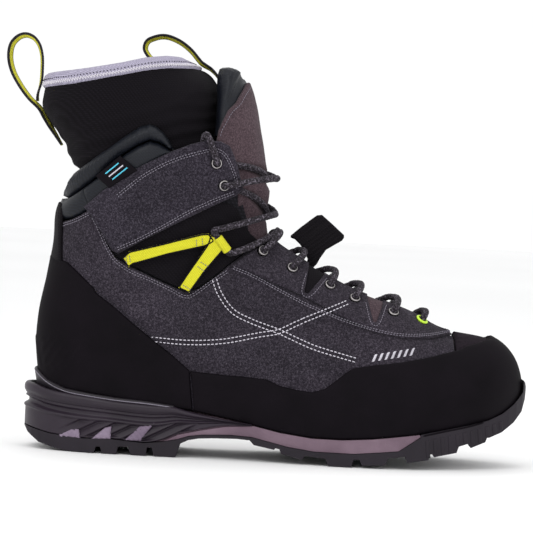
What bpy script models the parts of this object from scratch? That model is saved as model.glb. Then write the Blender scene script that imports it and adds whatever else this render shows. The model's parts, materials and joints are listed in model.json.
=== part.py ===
"""A laced mountaineering boot (right foot) as an assembly of its separate pieces.

Frame: +X towards the toe, +Z up, the outer (lateral) side of the foot at -Y. Metres.
The upper is a set of thin layers over one lofted last surface: every layer is a
stretch of that surface at its own depth, trimmed to its own side outline.
Side outlines are written in drawing units (U = one unit of the side drawing).
"""
import bpy
import bmesh
import math
import numpy as np
from mathutils import Vector, Matrix

# ---------------------------------------------------------------- driving sizes
U = 0.635                 # mm per drawing unit: gives a 315 mm long sole (EU 43)
PITCH = math.radians(2.7)  # the drawing leans nose-down by this much
X0, Y0 = 268.0, 455.99    # drawing point on the ground under the origin
XS = 7.00                 # mm, brings the middle of the whole boot to x = 0
YS = 0.22                 # mm, the same for y
GAP = 0.30                # mm, clearance kept between touching pieces
K = 0.325                 # slope of the section planes of the last (rise towards the toe)
LACE_R = 1.95             # mm
N_PHI = 28                # sections round the last
MM = 0.001

for o in list(bpy.data.objects):
    bpy.data.objects.remove(o, do_unlink=True)
boot = bpy.data.collections.new("mountaineering_boot")
bpy.context.scene.collection.children.link(boot)
cutters = bpy.data.collections.new("cutters")
bpy.context.scene.collection.children.link(cutters)


# ---------------------------------------------------------------- drawing to frame
def to_mm(p):
    """Drawing units (right, down) to (x, z) in mm."""
    p = np.asarray(p, float)
    dx, up = p[..., 0] - X0, Y0 - p[..., 1]
    x = U * (dx * math.cos(PITCH) - up * math.sin(PITCH)) + XS
    z = U * (dx * math.sin(PITCH) + up * math.cos(PITCH))
    return np.stack([x, z], -1)


def ground(px):
    """Drawing height of the ground under a drawing x."""
    return Y0 + (px - X0) * math.tan(PITCH)


def smooth_line(pts, step=1.0):
    """A centripetal Catmull-Rom curve through pts, resampled about every step."""
    p = np.asarray(pts, float)
    p = np.vstack([2 * p[0] - p[1], p, 2 * p[-1] - p[-2]])
    out = []
    for i in range(1, len(p) - 2):
        a, b, c, d = p[i - 1], p[i], p[i + 1], p[i + 2]
        t0 = 0.0
        t1 = t0 + max(np.linalg.norm(b - a), 1e-6) ** 0.5
        t2 = t1 + max(np.linalg.norm(c - b), 1e-6) ** 0.5
        t3 = t2 + max(np.linalg.norm(d - c), 1e-6) ** 0.5
        n = max(2, int(np.linalg.norm(c - b) / step))
        t = np.linspace(t1, t2, n, endpoint=False)[:, None]
        a1 = (t1 - t) / (t1 - t0) * a + (t - t0) / (t1 - t0) * b
        a2 = (t2 - t) / (t2 - t1) * b + (t - t1) / (t2 - t1) * c
        a3 = (t3 - t) / (t3 - t2) * c + (t - t2) / (t3 - t2) * d
        b1 = (t2 - t) / (t2 - t0) * a1 + (t - t0) / (t2 - t0) * a2
        b2 = (t3 - t) / (t3 - t1) * a2 + (t - t1) / (t3 - t1) * a3
        out.append((t2 - t) / (t2 - t1) * b1 + (t - t1) / (t2 - t1) * b2)
    out.append(p[-2][None])
    return np.vstack(out)


def smoothstep(a, b, x):
    t = np.clip((np.asarray(x, float) - a) / (b - a), 0, 1)
    return t * t * (3 - 2 * t)


def dist_to(poly, x, z):
    """Distance of points (x, z) to an open polyline."""
    x, z = np.asarray(x, float).ravel(), np.asarray(z, float).ravel()
    a, b = poly[:-1], poly[1:]
    d = b - a
    best = np.full(len(x), 1e9)
    for i in range(0, len(x), 2000):
        px, pz = x[i:i + 2000, None], z[i:i + 2000, None]
        t = ((px - a[:, 0]) * d[:, 0] + (pz - a[:, 1]) * d[:, 1]) / (d ** 2).sum(1)
        t = np.clip(t, 0, 1)
        e = (px - a[:, 0] - t * d[:, 0]) ** 2 + (pz - a[:, 1] - t * d[:, 1]) ** 2
        best[i:i + 2000] = np.sqrt(e.min(1))
    return best


class Tube:
    """A tube-like skin between a back and a front side line, cut by parallel planes z = q + k x.
    phi runs from the back (0) along the lateral side to the front (pi) and back on the medial side."""

    def __init__(self, front, back, k, width, centre, d_front, d_back):
        self.f = smooth_line(to_mm(front), 1.0)
        self.b = smooth_line(to_mm(back), 1.0)
        self.k = k
        self.qf = self.f[:, 1] - k * self.f[:, 0]
        self.qb = self.b[:, 1] - k * self.b[:, 0]
        self.width, self.centre, self.d_front, self.d_back = width, centre, d_front, d_back

    def ends(self, q):
        return np.interp(q, self.qb, self.b[:, 0]), np.interp(q, self.qf, self.f[:, 0])

    def skin(self, phi, q):
        phi, q = np.broadcast_arrays(np.asarray(phi, float), np.asarray(q, float))
        shape = phi.shape
        phi, q = phi.ravel(), q.ravel()
        xb, xf = self.ends(q)
        x = xb + (xf - xb) * (1 - np.cos(phi)) / 2
        z = q + self.k * x
        df, db = dist_to(self.f, x, z), dist_to(self.b, x, z)
        side = np.where(np.sin(phi) >= 0, -1.0, 1.0)
        tf = np.clip(df / self.d_front(x, z), 0, 1)
        tb = np.clip(db / self.d_back(x, z), 0, 1)
        w = self.width(x, z, side) * np.sqrt(1 - (1 - tf) ** 2) * np.sqrt(1 - (1 - tb) ** 2)
        return np.stack([x, self.centre(x, z) + side * w, z], -1).reshape(shape + (3,))

    def at(self, phi, q, h=0.0):
        p = self.skin(phi, q)
        e, g = 0.012, 0.25
        tu = self.skin(np.asarray(phi) + e, q) - self.skin(np.asarray(phi) - e, q)
        tv = self.skin(phi, np.asarray(q) + g) - self.skin(phi, np.asarray(q) - g)
        n = np.cross(tu, tv)
        n /= np.maximum(np.linalg.norm(n, axis=-1, keepdims=True), 1e-12)
        return p + n * np.asarray(h, float)[..., None] if np.ndim(h) else p + n * h

    def locate(self, point, side=-1):
        """(phi, q) of a drawing point on the lateral (-1) or medial (+1) side."""
        x, z = np.moveaxis(to_mm(point), -1, 0)
        q = z - self.k * x
        xb, xf = self.ends(q)
        phi = np.arccos(np.clip(1 - 2 * (x - xb) / (xf - xb), -1, 1))
        return (phi if side < 0 else 2 * math.pi - phi), q

    def on(self, point, h=0.0, side=-1):
        phi, q = self.locate(point, side)
        return self.at(phi, q, h)


# ---------------------------------------------------------------- the last
HEEL_X = float(to_mm((36, 380))[0])
RUN = np.array([0, 30, 45, 70, 100, 130, 160, 190, 215, 240, 265, 285, 300, 320])
W_LOW = np.array([30, 31.5, 32.5, 33, 33.5, 36, 39.5, 44, 47.5, 48, 46, 43, 40, 36])
W_HIGH = np.array([35, 35, 35, 35.5, 36, 36, 36, 38, 41, 43, 42, 40, 37, 34])
CEN = np.array([0, 0, 0, -1, -2, -3, -3.5, -3, -1.5, 0.5, 3, 5, 7, 8])
FEATHER = [(20, 379), (60, 384.5), (100, 391), (160, 402), (185, 405.5), (240, 417), (280, 427),
           (310, 432), (340, 433.5), (370, 432.5), (400, 430), (440, 425), (465, 421), (485, 417),
           (500, 411), (512, 403), (520, 394), (532, 382)]
FEATHER_MM = smooth_line(to_mm(FEATHER), 2.0)


def last_width(x, z, side):
    run = x - HEEL_X
    low, high = np.interp(run, RUN, W_LOW), np.interp(run, RUN, W_HIGH)
    shaft = np.interp(z, [85, 100, 120, 140, 160, 180, 250], [35, 35.3, 36.8, 39.2, 41.8, 43, 44])
    high = high + (shaft - high) * (1 - smoothstep(110, 190, run))
    w = low + (high - low) * smoothstep(38, 98, z)
    over = z - np.interp(x, FEATHER_MM[:, 0], FEATHER_MM[:, 1])
    w = w * (1 - 0.07 * np.clip((26 - over) / 26, 0, 1.4) ** 2)
    arch = 4.5 * np.exp(-((run - 125) / 38) ** 2) * (1 - smoothstep(35, 75, z))
    return w - np.where(side > 0, arch, 0)


def last_centre(x, z):
    return np.interp(x - HEEL_X, RUN, CEN) * (1 - 0.6 * smoothstep(90, 140, z))


def last_front_depth(x, z):
    return 45 + 15 * (1 - smoothstep(150, 250, x - HEEL_X)) - 8 * smoothstep(120, 170, z)


def last_back_depth(x, z):
    return 40 + 6 * smoothstep(90, 150, z)


LAST = Tube(
    front=[(430, 560), (446, 470), (478, 445), (497, 432), (508, 420), (515, 407), (518.3, 395),
           (518.8, 383), (516.5, 371), (512, 360), (505, 350.5), (496, 343), (484, 337.5), (470, 334.5),
           (455, 332), (446, 329.5), (436, 325), (424, 317.5), (412, 311), (398, 305), (380, 298.5),
           (362, 291.5), (345, 284), (325, 272), (305, 259), (288, 248), (278, 240.5), (272.5, 232),
           (270.5, 220), (270, 200), (270, 180), (269.5, 160), (268.5, 140), (266.5, 120), (264, 105),
           (260.5, 90), (256.5, 78), (252, 60), (248, 40)],
    back=[(44, 590), (44, 395), (42.5, 380), (40.5, 366), (39.3, 350), (39.3, 335), (40.7, 320),
          (42.8, 306), (46, 292), (49, 280), (51.5, 268), (54, 256), (56.3, 244), (57.5, 232),
          (58, 220), (59.5, 210), (62.5, 202), (65.5, 194), (67.5, 186), (69.5, 176), (72, 165),
          (74, 150), (74, 120), (74, 60), (74, 20)],
    k=K, width=last_width, centre=last_centre, d_front=last_front_depth, d_back=last_back_depth)


def front_share(phi, q, wide=0.95):
    """1 at the front ridge, falling to 0 towards the sides."""
    return 1 - smoothstep(0.75, wide, np.abs(np.asarray(phi) - math.pi))


def inner_depth(phi, q):
    """Depth of the lining's outer face under the last skin: deeper under the lacing."""
    q = np.asarray(q, float)
    open_q = smoothstep(10, 31, q)
    shaft = smoothstep(118, 150, q)
    return -(4.3 + 5.8 * front_share(phi, q, 1.3) * open_q + 12.0 * front_share(phi, q, 1.35) * shaft)


def tongue_depth(phi, q):
    """Depth of the tongue's outer face under the last skin."""
    q = np.asarray(q, float)
    return -(7.5 - 2.6 * smoothstep(150, 172, q))


# ---------------------------------------------------------------- building tools
def link(obj, name, collection=None):
    obj.name = name
    obj.data.name = name
    (collection or boot).objects.link(obj)
    return obj


def mesh_object(name, bm, collection=None):
    mesh = bpy.data.meshes.new(name)
    bm.to_mesh(mesh)
    bm.free()
    return link(bpy.data.objects.new(name, mesh), name, collection)


def metres(p):
    p = np.asarray(p, float)
    return Vector((p[0] * MM, (p[1] + YS) * MM, p[2] * MM))


def loft(name, tube, depth, q_levels, n_phi=None, phis=None, closed=True):
    """An open skin lofted through the tube's sections at a depth under (or over) its surface."""
    phis = np.linspace(0, 2 * math.pi, (n_phi or N_PHI) + 1)[:-1] if phis is None else np.asarray(phis)
    bm = bmesh.new()
    rings = []
    for q in q_levels:
        h = depth(phis, np.full(len(phis), q)) if callable(depth) else np.full(len(phis), float(depth))
        pts = tube.at(phis, np.full(len(phis), float(q)), h)
        rings.append([bm.verts.new(metres(p)) for p in pts])
    n = len(phis)
    for lo, hi in zip(rings, rings[1:]):
        for i in range(n if closed else n - 1):
            j = (i + 1) % n
            bm.faces.new((lo[i], lo[j], hi[j]))
            bm.faces.new((lo[i], hi[j], hi[i]))
    return mesh_object(name, bm)


def solidify(obj, thickness, inward=False):
    m = obj.modifiers.new("thickness", "SOLIDIFY")
    m.thickness = thickness * MM
    m.offset = -1.0 if inward else 1.0
    m.use_quality_normals = True
    m.use_even_offset = False
    return obj


def boolean(obj, cutter, operation="DIFFERENCE"):
    m = obj.modifiers.new(operation.lower() + "_" + cutter.name, "BOOLEAN")
    m.operation = operation
    m.object = cutter
    m.solver = "EXACT"
    return obj


def as_cutter(obj):
    obj.hide_render = True
    obj.display_type = "WIRE"
    if obj.name in boot.objects:
        boot.objects.unlink(obj)
    if obj.name not in cutters.objects:
        cutters.objects.link(obj)
    return obj


def real_mesh(obj, collection=None):
    """The object's curve or modifiers made into a plain closed mesh."""
    bpy.context.view_layer.update()
    graph = bpy.context.evaluated_depsgraph_get()
    mesh = bpy.data.meshes.new_from_object(obj.evaluated_get(graph))
    bm = bmesh.new()
    bm.from_mesh(mesh)
    bmesh.ops.remove_doubles(bm, verts=bm.verts, dist=1e-6)
    bmesh.ops.recalc_face_normals(bm, faces=bm.faces)
    bm.to_mesh(mesh)
    bm.free()
    name = obj.name
    new = bpy.data.objects.new(name + "_m", mesh)
    new.matrix_world = obj.matrix_world.copy()
    bpy.data.objects.remove(obj, do_unlink=True)
    new.name = name
    mesh.name = name
    (collection or boot).objects.link(new)
    return new


def outline(name, points, half, frame):
    """A flat outline as a filled 2D curve, extruded by half to both sides, in the plane of frame."""
    curve = bpy.data.curves.new(name, "CURVE")
    curve.dimensions = "2D"
    curve.fill_mode = "BOTH"
    curve.extrude = half * MM
    spline = curve.splines.new("POLY")
    spline.points.add(len(points) - 1)
    for s, p in zip(spline.points, points):
        s.co = (p[0] * MM, p[1] * MM, 0, 1)
    spline.use_cyclic_u = True
    obj = bpy.data.objects.new(name, curve)
    boot.objects.link(obj)
    obj.matrix_world = frame
    return real_mesh(obj)


def side_prism(name, drawing, y_low, y_high, curved=False, step=4.0):
    """A prism across the boot: a side outline in drawing units between two y values (mm)."""
    pts = to_mm(smooth_line(list(drawing) + [drawing[0]], step)[:-1] if curved else drawing)
    mid = (y_low + y_high) / 2 + YS
    frame = Matrix.Translation((0, mid * MM, 0)) @ Matrix.Rotation(math.pi / 2, 4, "X")
    return outline(name, pts, (y_high - y_low) / 2, frame)


def plan_prism(name, points, z_low, z_high):
    frame = Matrix.Translation((0, YS * MM, (z_low + z_high) / 2 * MM))
    return outline(name, points, (z_high - z_low) / 2, frame)


def paint(obj, name, colour, roughness, metallic=0.0):
    mat = bpy.data.materials.get(name)
    if mat is None:
        mat = bpy.data.materials.new(name)
        mat.use_nodes = True
        bsdf = mat.node_tree.nodes["Principled BSDF"]
        bsdf.inputs["Base Color"].default_value = (*colour, 1)
        bsdf.inputs["Roughness"].default_value = roughness
        bsdf.inputs["Metallic"].default_value = metallic
        mat.diffuse_color = (*colour, 1)
    obj.data.materials.clear()
    obj.data.materials.append(mat)
    return obj


SUEDE = ("charcoal_suede", (0.05, 0.045, 0.055), 0.9)
TONGUE_SUEDE = ("taupe_suede", (0.10, 0.08, 0.085), 0.92)
RUBBER = ("black_rubber", (0.02, 0.018, 0.02), 0.7)
TREAD = ("tread_rubber", (0.022, 0.02, 0.023), 0.8)
FRAME = ("heel_tpu", (0.05, 0.045, 0.055), 0.5)
EVA = ("grey_eva", (0.2, 0.16, 0.18), 0.85)
PAD = ("padded_synthetic", (0.025, 0.024, 0.028), 0.6)
STRETCH = ("black_stretch", (0.012, 0.01, 0.012), 0.95)
BINDING = ("grey_binding", (0.36, 0.35, 0.42), 0.9)
WEBBING = ("black_webbing", (0.02, 0.018, 0.022), 0.85)
VAMP = ("toe_suede", (0.045, 0.038, 0.044), 0.9)
PLATE = ("shank_steel", (0.3, 0.3, 0.31), 0.4, 1.0)
AGLET = ("aglet_plastic", (0.01, 0.01, 0.012), 0.3)
YELLOW = ("yellow_webbing", (0.8, 0.78, 0.03), 0.8)
METAL = ("dark_nickel", (0.25, 0.23, 0.23), 0.35, 1.0)
LIME = ("lime_eyelet", (0.7, 0.85, 0.05), 0.4)
LACE = ("lace_cord", (0.06, 0.05, 0.055), 0.85)
FLEECE = ("lining_mesh", (0.03, 0.03, 0.035), 0.95)
BOARD = ("board", (0.45, 0.4, 0.32), 0.8)

# ---------------------------------------------------------------- side outlines (drawing units)
RAND_TOP = [(40, 243.5), (54, 252.5), (70, 259.5), (86, 272.5), (102, 290.5), (125, 308), (146, 327), (160, 340),
            (176, 356), (190, 367), (215, 371), (240, 371.5), (262, 372.5), (300, 374), (322, 372),
            (336, 363), (350, 354), (375, 352), (400, 349), (425, 345.5), (446, 341.5), (458, 346),
            (474, 345.5), (486, 342.5), (491, 337), (484, 331), (470, 326), (460, 322)]
QUARTER_TOP = [(40, 203), (64, 205.5), (88, 208.5), (96, 217), (104, 230), (112, 246), (119, 257),
               (135, 266), (155, 276), (172, 284), (187, 290), (200, 287), (214, 277.5), (230, 264),
               (246, 252), (260, 243), (274, 238), (290, 232)]
CUFF = [(88, 207), (104, 193.5), (120, 181), (136, 171), (152, 163), (176, 152), (194, 145.5), (208, 142),
        (222, 143), (230, 147), (234, 156), (238, 168), (240.5, 180), (243, 190), (236, 196), (210, 208),
        (180, 222.5), (150, 237.5), (122, 252.5), (116, 250), (110, 240), (102, 226), (95, 215)]
EYESTAY = [(231, 265), (246, 253.5), (262, 244), (276, 239), (284, 234), (300, 225), (305, 238), (304, 270), (302, 292),
           (306, 292), (317, 275), (322, 245), (340, 250), (365, 264), (367, 304), (371, 321), (374, 321), (379, 306),
           (383, 274), (400, 280), (440, 310), (452, 328), (452, 334), (430, 337.5), (400, 336.5), (370, 330), (335, 313),
           (300, 294), (268, 280), (244, 269)]
COLLAR = [(50, 203.7), (62, 199), (66, 186), (71, 175), (86, 162), (104, 150), (122, 138), (138, 129),
          (150, 125.5), (161, 129), (169, 138), (175, 151), (160, 158.5), (140, 168), (120, 179.5),
          (102, 193.5), (88, 205.8), (70, 204)]
FLEX = [(114, 243), (138, 232), (180, 212), (212, 198), (222, 202), (234, 204.5), (240, 209), (243, 219), (252, 233), (262, 241.5),
        (248, 249.5), (232, 261), (214, 276), (200, 285), (188, 288), (172, 282), (155, 274), (136, 264),
        (121, 255.5)]

# ---------------------------------------------------------------- the layers of the upper
Q_ALL = [-44, -30, -17, -5, 7, 19, 31, 43, 56, 72, 90, 108, 126, 144, 162, 182, 204, 226]
Q_LOW = [q for q in Q_ALL if q <= 162]


def raised(line, up):
    return [(p[0], p[1] - up) for p in line]


FEATHER_CUT = raised(FEATHER, 0.5)


def region(top):
    """Closed outline between a top line (left to right) and the feather line."""
    return list(top) + list(reversed(FEATHER_CUT))


throat = side_prism("throat_cutter", [(449, 345), (449, 300), (300, 190), (292, 100), (292, -40), (222, -40),
                                      (222, 60), (232, 160), (240, 225), (250, 252), (292, 280), (350, 312),
                                      (410, 340)], -10.5, 13.5)
as_cutter(throat)

# insole side: lining bootie
lining = solidify(loft("lining_bootie", LAST, inner_depth, Q_ALL), 1.5, inward=True)
lining_top = [(30, 208), (64, 205), (90, 197), (130, 185), (180, 172), (215, 165), (290, 150)]
boolean(lining, as_cutter(side_prism("lining_region", region(lining_top), -90, 90)), "INTERSECT")
paint(lining, *FLEECE)

# stiffeners between lining and leather
counter = solidify(loft("heel_counter", LAST, -3.9, Q_LOW), 1.2)
boolean(counter, as_cutter(side_prism("counter_region", region([(20, 300), (60, 300), (90, 312), (120, 335),
        (140, 365), (150, 399)])[:6] + [(140, 398), (100, 390.5), (60, 384), (20, 378.5)], -90, 90)), "INTERSECT")
paint(counter, *BOARD)
puff = solidify(loft("toe_puff", LAST, -3.9, Q_LOW), 1.2)
boolean(puff, as_cutter(side_prism("puff_region", [(456, 300), (560, 300), (560, 376), (532, 381.5), (520, 393.5),
        (512, 402.5), (500, 410.5), (485, 416.5), (465, 420.5), (456, 422)], -90, 90)), "INTERSECT")
paint(puff, *BOARD)

# quarters (lateral, medial) and toe vamp
eyelet_drawing = [(419, 321), (391, 313), (353, 299), (328, 286), (291, 268.5), (261, 251.4),
                  (224, 186), (217, 164.5)]
quarter_region = QUARTER_TOP + [(300, 200), (452.5, 290), (452.5, 422.2)] + [p for p in reversed(FEATHER_CUT) if p[0] < 450]
holes = {}
for side, word in ((-1, "lateral"), (1, "medial")):
    for i, d in enumerate(eyelet_drawing):
        p = LAST.on(d, 0.0, side)
        n = LAST.on(d, 1.0, side) - p
        if i == 5:      # the instep is hollow here: the ring stands a little proud
            p = p + n * 0.8
        rot = Vector(n).to_track_quat("Z", "Y").to_matrix().to_4x4()
        holes[word, i] = (p, n, rot)


def hole_cutter(word, rows, radius, name):
    bm = bmesh.new()
    for i in rows:
        p, n, rot = holes[word, i]
        bmesh.ops.create_cone(bm, cap_ends=True, segments=12, radius1=radius * MM, radius2=radius * MM,
                              depth=16 * MM, matrix=Matrix.Translation(metres(p)) @ rot)
    return as_cutter(mesh_object(name, bm))


eyestay_holes = {w: hole_cutter(w, range(6), 3.15, "eyestay_holes_" + w) for w in ("lateral", "medial")}
cuff_holes = {w: hole_cutter(w, (6, 7), 3.15, "cuff_holes_" + w) for w in ("lateral", "medial")}

for word in ("lateral", "medial"):
    o = solidify(loft("quarter_" + word, LAST, -0.05, Q_LOW), 1.6, inward=True)
    ylo, yhi = (-90, -0.2) if word == "lateral" else (0.2, 90)
    region_cut = side_prism("quarter_region_" + word, quarter_region, ylo, yhi)
    boolean(region_cut, throat)
    boolean(region_cut, eyestay_holes[word])
    boolean(o, as_cutter(region_cut), "INTERSECT")
    paint(o, *SUEDE)

vamp = solidify(loft("toe_vamp", LAST, -0.05, Q_LOW), 2.0, inward=True)
boolean(vamp, as_cutter(side_prism("vamp_region", [(453.5, 290), (560, 290), (560, 376), (532, 381.5), (520, 393.5),
        (512, 402.5), (500, 410.5), (485, 416.5), (465, 420.5), (453.5, 422.5)], -90, 90)), "INTERSECT")
paint(vamp, *VAMP)

# rubber rand: heel cup and front rand
i_split = 9
rand_heel = solidify(loft("rand_heel", LAST, GAP, Q_LOW), 1.9)
heel_region = RAND_TOP[:i_split + 1] + [(192, 380), (194, 406)] + [p for p in reversed(FEATHER_CUT) if p[0] < 190]
boolean(rand_heel, as_cutter(side_prism("rand_heel_region", heel_region, -90, 90)), "INTERSECT")
paint(rand_heel, *RUBBER)
rand_front = solidify(loft("rand_front", LAST, GAP, Q_LOW), 1.9)
front_region = [(191.5, 368)] + RAND_TOP[i_split + 1:] + [(560, 300), (560, 376)] + \
    [p for p in reversed(FEATHER_CUT) if p[0] > 200] + [(195.5, 407), (193.5, 380)]
toe_window = [(452, 300), (466, 300), (490, 331), (490.5, 337), (485.5, 341.8), (474, 344.8), (458, 345.3), (447, 341)]
front_cut = side_prism("rand_front_region", front_region, -90, 90)
boolean(front_cut, as_cutter(side_prism("toe_window", toe_window, -95, 95)))
boolean(rand_front, as_cutter(front_cut), "INTERSECT")
paint(rand_front, *RUBBER)

# eyestays with their flex notches
for word in ("lateral", "medial"):
    ylo, yhi = (-90, -10.5) if word == "lateral" else (13.5, 90)
    o = solidify(loft("eyestay_" + word, LAST, GAP, [q for q in Q_ALL if 5 <= q <= 162]), 1.6)
    region_cut = side_prism("eyestay_region_" + word, EYESTAY, ylo, yhi)
    boolean(region_cut, eyestay_holes[word])
    boolean(o, as_cutter(region_cut), "INTERSECT")
    paint(o, *SUEDE)

# ankle cuffs
for word in ("lateral", "medial"):
    ylo, yhi = (-90, -3) if word == "lateral" else (3, 90)
    o = solidify(loft("ankle_cuff_" + word, LAST, GAP, [q for q in Q_ALL if 100 <= q <= 226]), 2.0)
    region_cut = side_prism("cuff_region_" + word, CUFF, ylo, yhi)
    boolean(region_cut, cuff_holes[word])
    boolean(o, as_cutter(region_cut), "INTERSECT")
    paint(o, *SUEDE)

# back stay
stay = solidify(loft("back_stay", LAST, GAP, [q for q in Q_ALL if 100 <= q <= 226]), 1.6)
boolean(stay, as_cutter(side_prism("stay_region", [(40, 204.5), (64, 206.5), (67, 210), (66.5, 222), (66, 236),
        (66.5, 257.1), (54, 251.2), (40, 242.2)], -90, 90)), "INTERSECT")
paint(stay, *WEBBING)

# padded collar: a thick rolled band
collar = solidify(loft("collar_pad", LAST, lambda p, q: -3.9 + 0 * q, [q for q in Q_ALL if 100 <= q <= 226]), 6.4)
boolean(collar, as_cutter(side_prism("collar_region", COLLAR, -90, 90)), "INTERSECT")
paint(collar, *PAD)

# stretch flex panels
for word in ("lateral", "medial"):
    ylo, yhi = (-90, -3) if word == "lateral" else (3, 90)
    o = solidify(loft("flex_panel_" + word, LAST, -1.9, [q for q in Q_ALL if 50 <= q <= 210]), 1.2)
    boolean(o, as_cutter(side_prism("flex_region_" + word, FLEX, ylo, yhi)), "INTERSECT")
    paint(o, *STRETCH)

# ---------------------------------------------------------------- tongue
TONGUE_SPLIT = 139.5      # drawing height of the fold above the cuff


def tongue_phis(half):
    steps = round(half / (2 * math.pi / N_PHI))
    return math.pi + np.arange(-steps, steps + 1) * 2 * math.pi / N_PHI


def tongue_sheet(name, q_levels, half, inner, thick):
    o = loft(name, LAST, lambda p, q: tongue_depth(p, q) - inner, q_levels, phis=tongue_phis(half), closed=False)
    return solidify(o, thick, inward=True)


lower_q = [q for q in Q_ALL if q >= 31]
tongue_lower = tongue_sheet("tongue_lower", lower_q, 0.68, 0.0, 1.8)
boolean(tongue_lower, as_cutter(side_prism("tongue_lower_region",
        [(150, TONGUE_SPLIT + .5), (300, TONGUE_SPLIT + .5), (560, 300), (560, 400), (150, 400)], -60, 60)), "INTERSECT")
paint(tongue_lower, *TONGUE_SUEDE)
upper_q = [182, 204, 226, 240, 254, 268, 284]
tongue_upper = tongue_sheet("tongue_upper", upper_q, 1.13, 0.0, 1.8)
boolean(tongue_upper, as_cutter(side_prism("tongue_upper_region",
        [(219.5, TONGUE_SPLIT - .5), (300, TONGUE_SPLIT - .5), (300, 60), (252, 77), (246, 82), (233, 102), (226, 111),
         (221.5, 126)], -60, 60)), "INTERSECT")
paint(tongue_upper, *TONGUE_SUEDE)
pad = tongue_sheet("tongue_pad", upper_q, 1.13, 2.1, 8.0)
boolean(pad, as_cutter(side_prism("tongue_pad_region",
        [(221, 136.5), (290, 136.5), (290, 60), (240, 62), (228.6, 67.4), (223.5, 80), (221.5, 100)], -60, 60)), "INTERSECT")
paint(pad, *PAD)

# ---------------------------------------------------------------- stretch gaiter
def gaiter_width(x, z, side):
    return np.interp(z, [140, 175, 200, 230, 255], [33.2, 34.3, 37.6, 41.5, 42.0]) + 0 * x


GAITER = Tube(
    front=[(214, 300), (214, 215), (215.5, 190), (217, 165), (219, 140), (220.5, 118), (221, 100), (219, 88),
           (213, 78), (205, 71.5), (196, 67), (190, 61), (187, 52)],
    back=[(80, 300), (83, 205), (84, 190), (83, 178), (79, 167), (72.5, 155), (65, 143), (59, 135), (53, 127),
          (47, 118), (42.5, 110), (41.5, 103), (43, 95), (45, 86), (46.5, 74), (48, 60), (48, 40)],
    k=0.16, width=gaiter_width, centre=lambda x, z: 0 * x, d_front=lambda x, z: 44 + 0 * x,
    d_back=lambda x, z: 44 + 0 * x)
gaiter = solidify(loft("stretch_gaiter", GAITER, -2.4, [150, 166, 182, 198, 212, 226, 239, 250, 262], 28), 2.4)
boolean(gaiter, as_cutter(side_prism("gaiter_region", [(20, 87.5), (45, 87.5), (75, 86), (100, 82.5), (125, 77),
        (150, 71.5), (175, 69.3), (196, 68.6), (215, 69.5), (240, 60), (240, 163), (215, 163), (180, 170), (130, 183), (90, 195),
        (66, 202.5), (30, 206)], -60, 60)), "INTERSECT")
paint(gaiter, *STRETCH)
binding = solidify(loft("gaiter_binding", GAITER, -2.9, [212, 226, 239, 250, 262, 274], 28), 3.4)
boolean(binding, as_cutter(side_prism("binding_region", [(20, 86.9), (45, 86.9), (75, 85.4), (100, 81.9),
        (125, 76.4), (150, 70.9), (175, 68.7), (196, 68), (200, 64), (192, 60.5), (179, 58.5), (155, 62), (130, 66.5), (100, 71.5),
        (75, 74.8), (46, 75.5), (20, 75.5)], -60, 60)), "INTERSECT")
paint(binding, *BINDING)

# ---------------------------------------------------------------- sole
def footprint(over=1.0, n=72):
    """The last's outline at the feather line, in plan (x, y), starting at the heel, lateral side first."""
    phi = np.linspace(0, 2 * math.pi, n + 1)[:-1]
    q = np.full(n, 20.0)
    for _ in range(60):
        p = LAST.skin(phi, q)
        z = np.interp(p[:, 0], FEATHER_MM[:, 0], FEATHER_MM[:, 1]) + over
        q = 0.5 * q + 0.5 * (z - LAST.k * p[:, 0])
    return LAST.skin(phi, q)[:, :2]


FOOT = footprint()


def plan_offset(distance):
    """The footprint moved outward by a distance that may depend on the run from the heel."""
    a, b = np.roll(FOOT, 1, 0), np.roll(FOOT, -1, 0)
    t = b - a
    t /= np.linalg.norm(t, axis=1)[:, None]
    n = np.stack([t[:, 1], -t[:, 0]], 1)
    if ((FOOT + n - FOOT.mean(0)) ** 2).sum() < ((FOOT - FOOT.mean(0)) ** 2).sum():
        n = -n
    d = np.array([distance(x - HEEL_X) if callable(distance) else distance for x in FOOT[:, 0]])
    return FOOT + n * d[:, None]


def ring_prism(name, outer, inner, z_low, z_high):
    curve = bpy.data.curves.new(name, "CURVE")
    curve.dimensions = "2D"
    curve.fill_mode = "BOTH"
    curve.extrude = (z_high - z_low) / 2 * MM
    for loop in (outer, inner):
        spline = curve.splines.new("POLY")
        spline.points.add(len(loop) - 1)
        for s, p in zip(spline.points, loop):
            s.co = (p[0] * MM, p[1] * MM, 0, 1)
        spline.use_cyclic_u = True
    obj = bpy.data.objects.new(name, curve)
    boot.objects.link(obj)
    obj.matrix_world = Matrix.Translation((0, YS * MM, (z_low + z_high) / 2 * MM))
    return real_mesh(obj)


def g(px):
    return (px, float(ground(px)))


FRAME_TOP = [(36.6, 382.2), (47, 385.6), (66, 389.4), (95, 393.5), (120, 397.5), (150, 400.6), (175, 404.2), (184, 408),
             (208, 413), (230, 416), (254, 420.3)]
OUTSOLE_TOP = [(24, 423), (52, 430), (83, 434), (113, 434.5), (146, 438.3), (165, 437), (180, 434.6), (190, 431.6),
               (204, 430.2), (230, 430.1), (252, 432), (287, 441.2), (313, 445.6), (352, 447.4), (395, 445), (417, 431.5)]


def sole_depth(run):
    return 4.6 + 6.4 * (1 - smoothstep(0, 30, run)) - 0.6 * smoothstep(150, 220, run) + 1.8 * smoothstep(280, 312, run)


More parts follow.
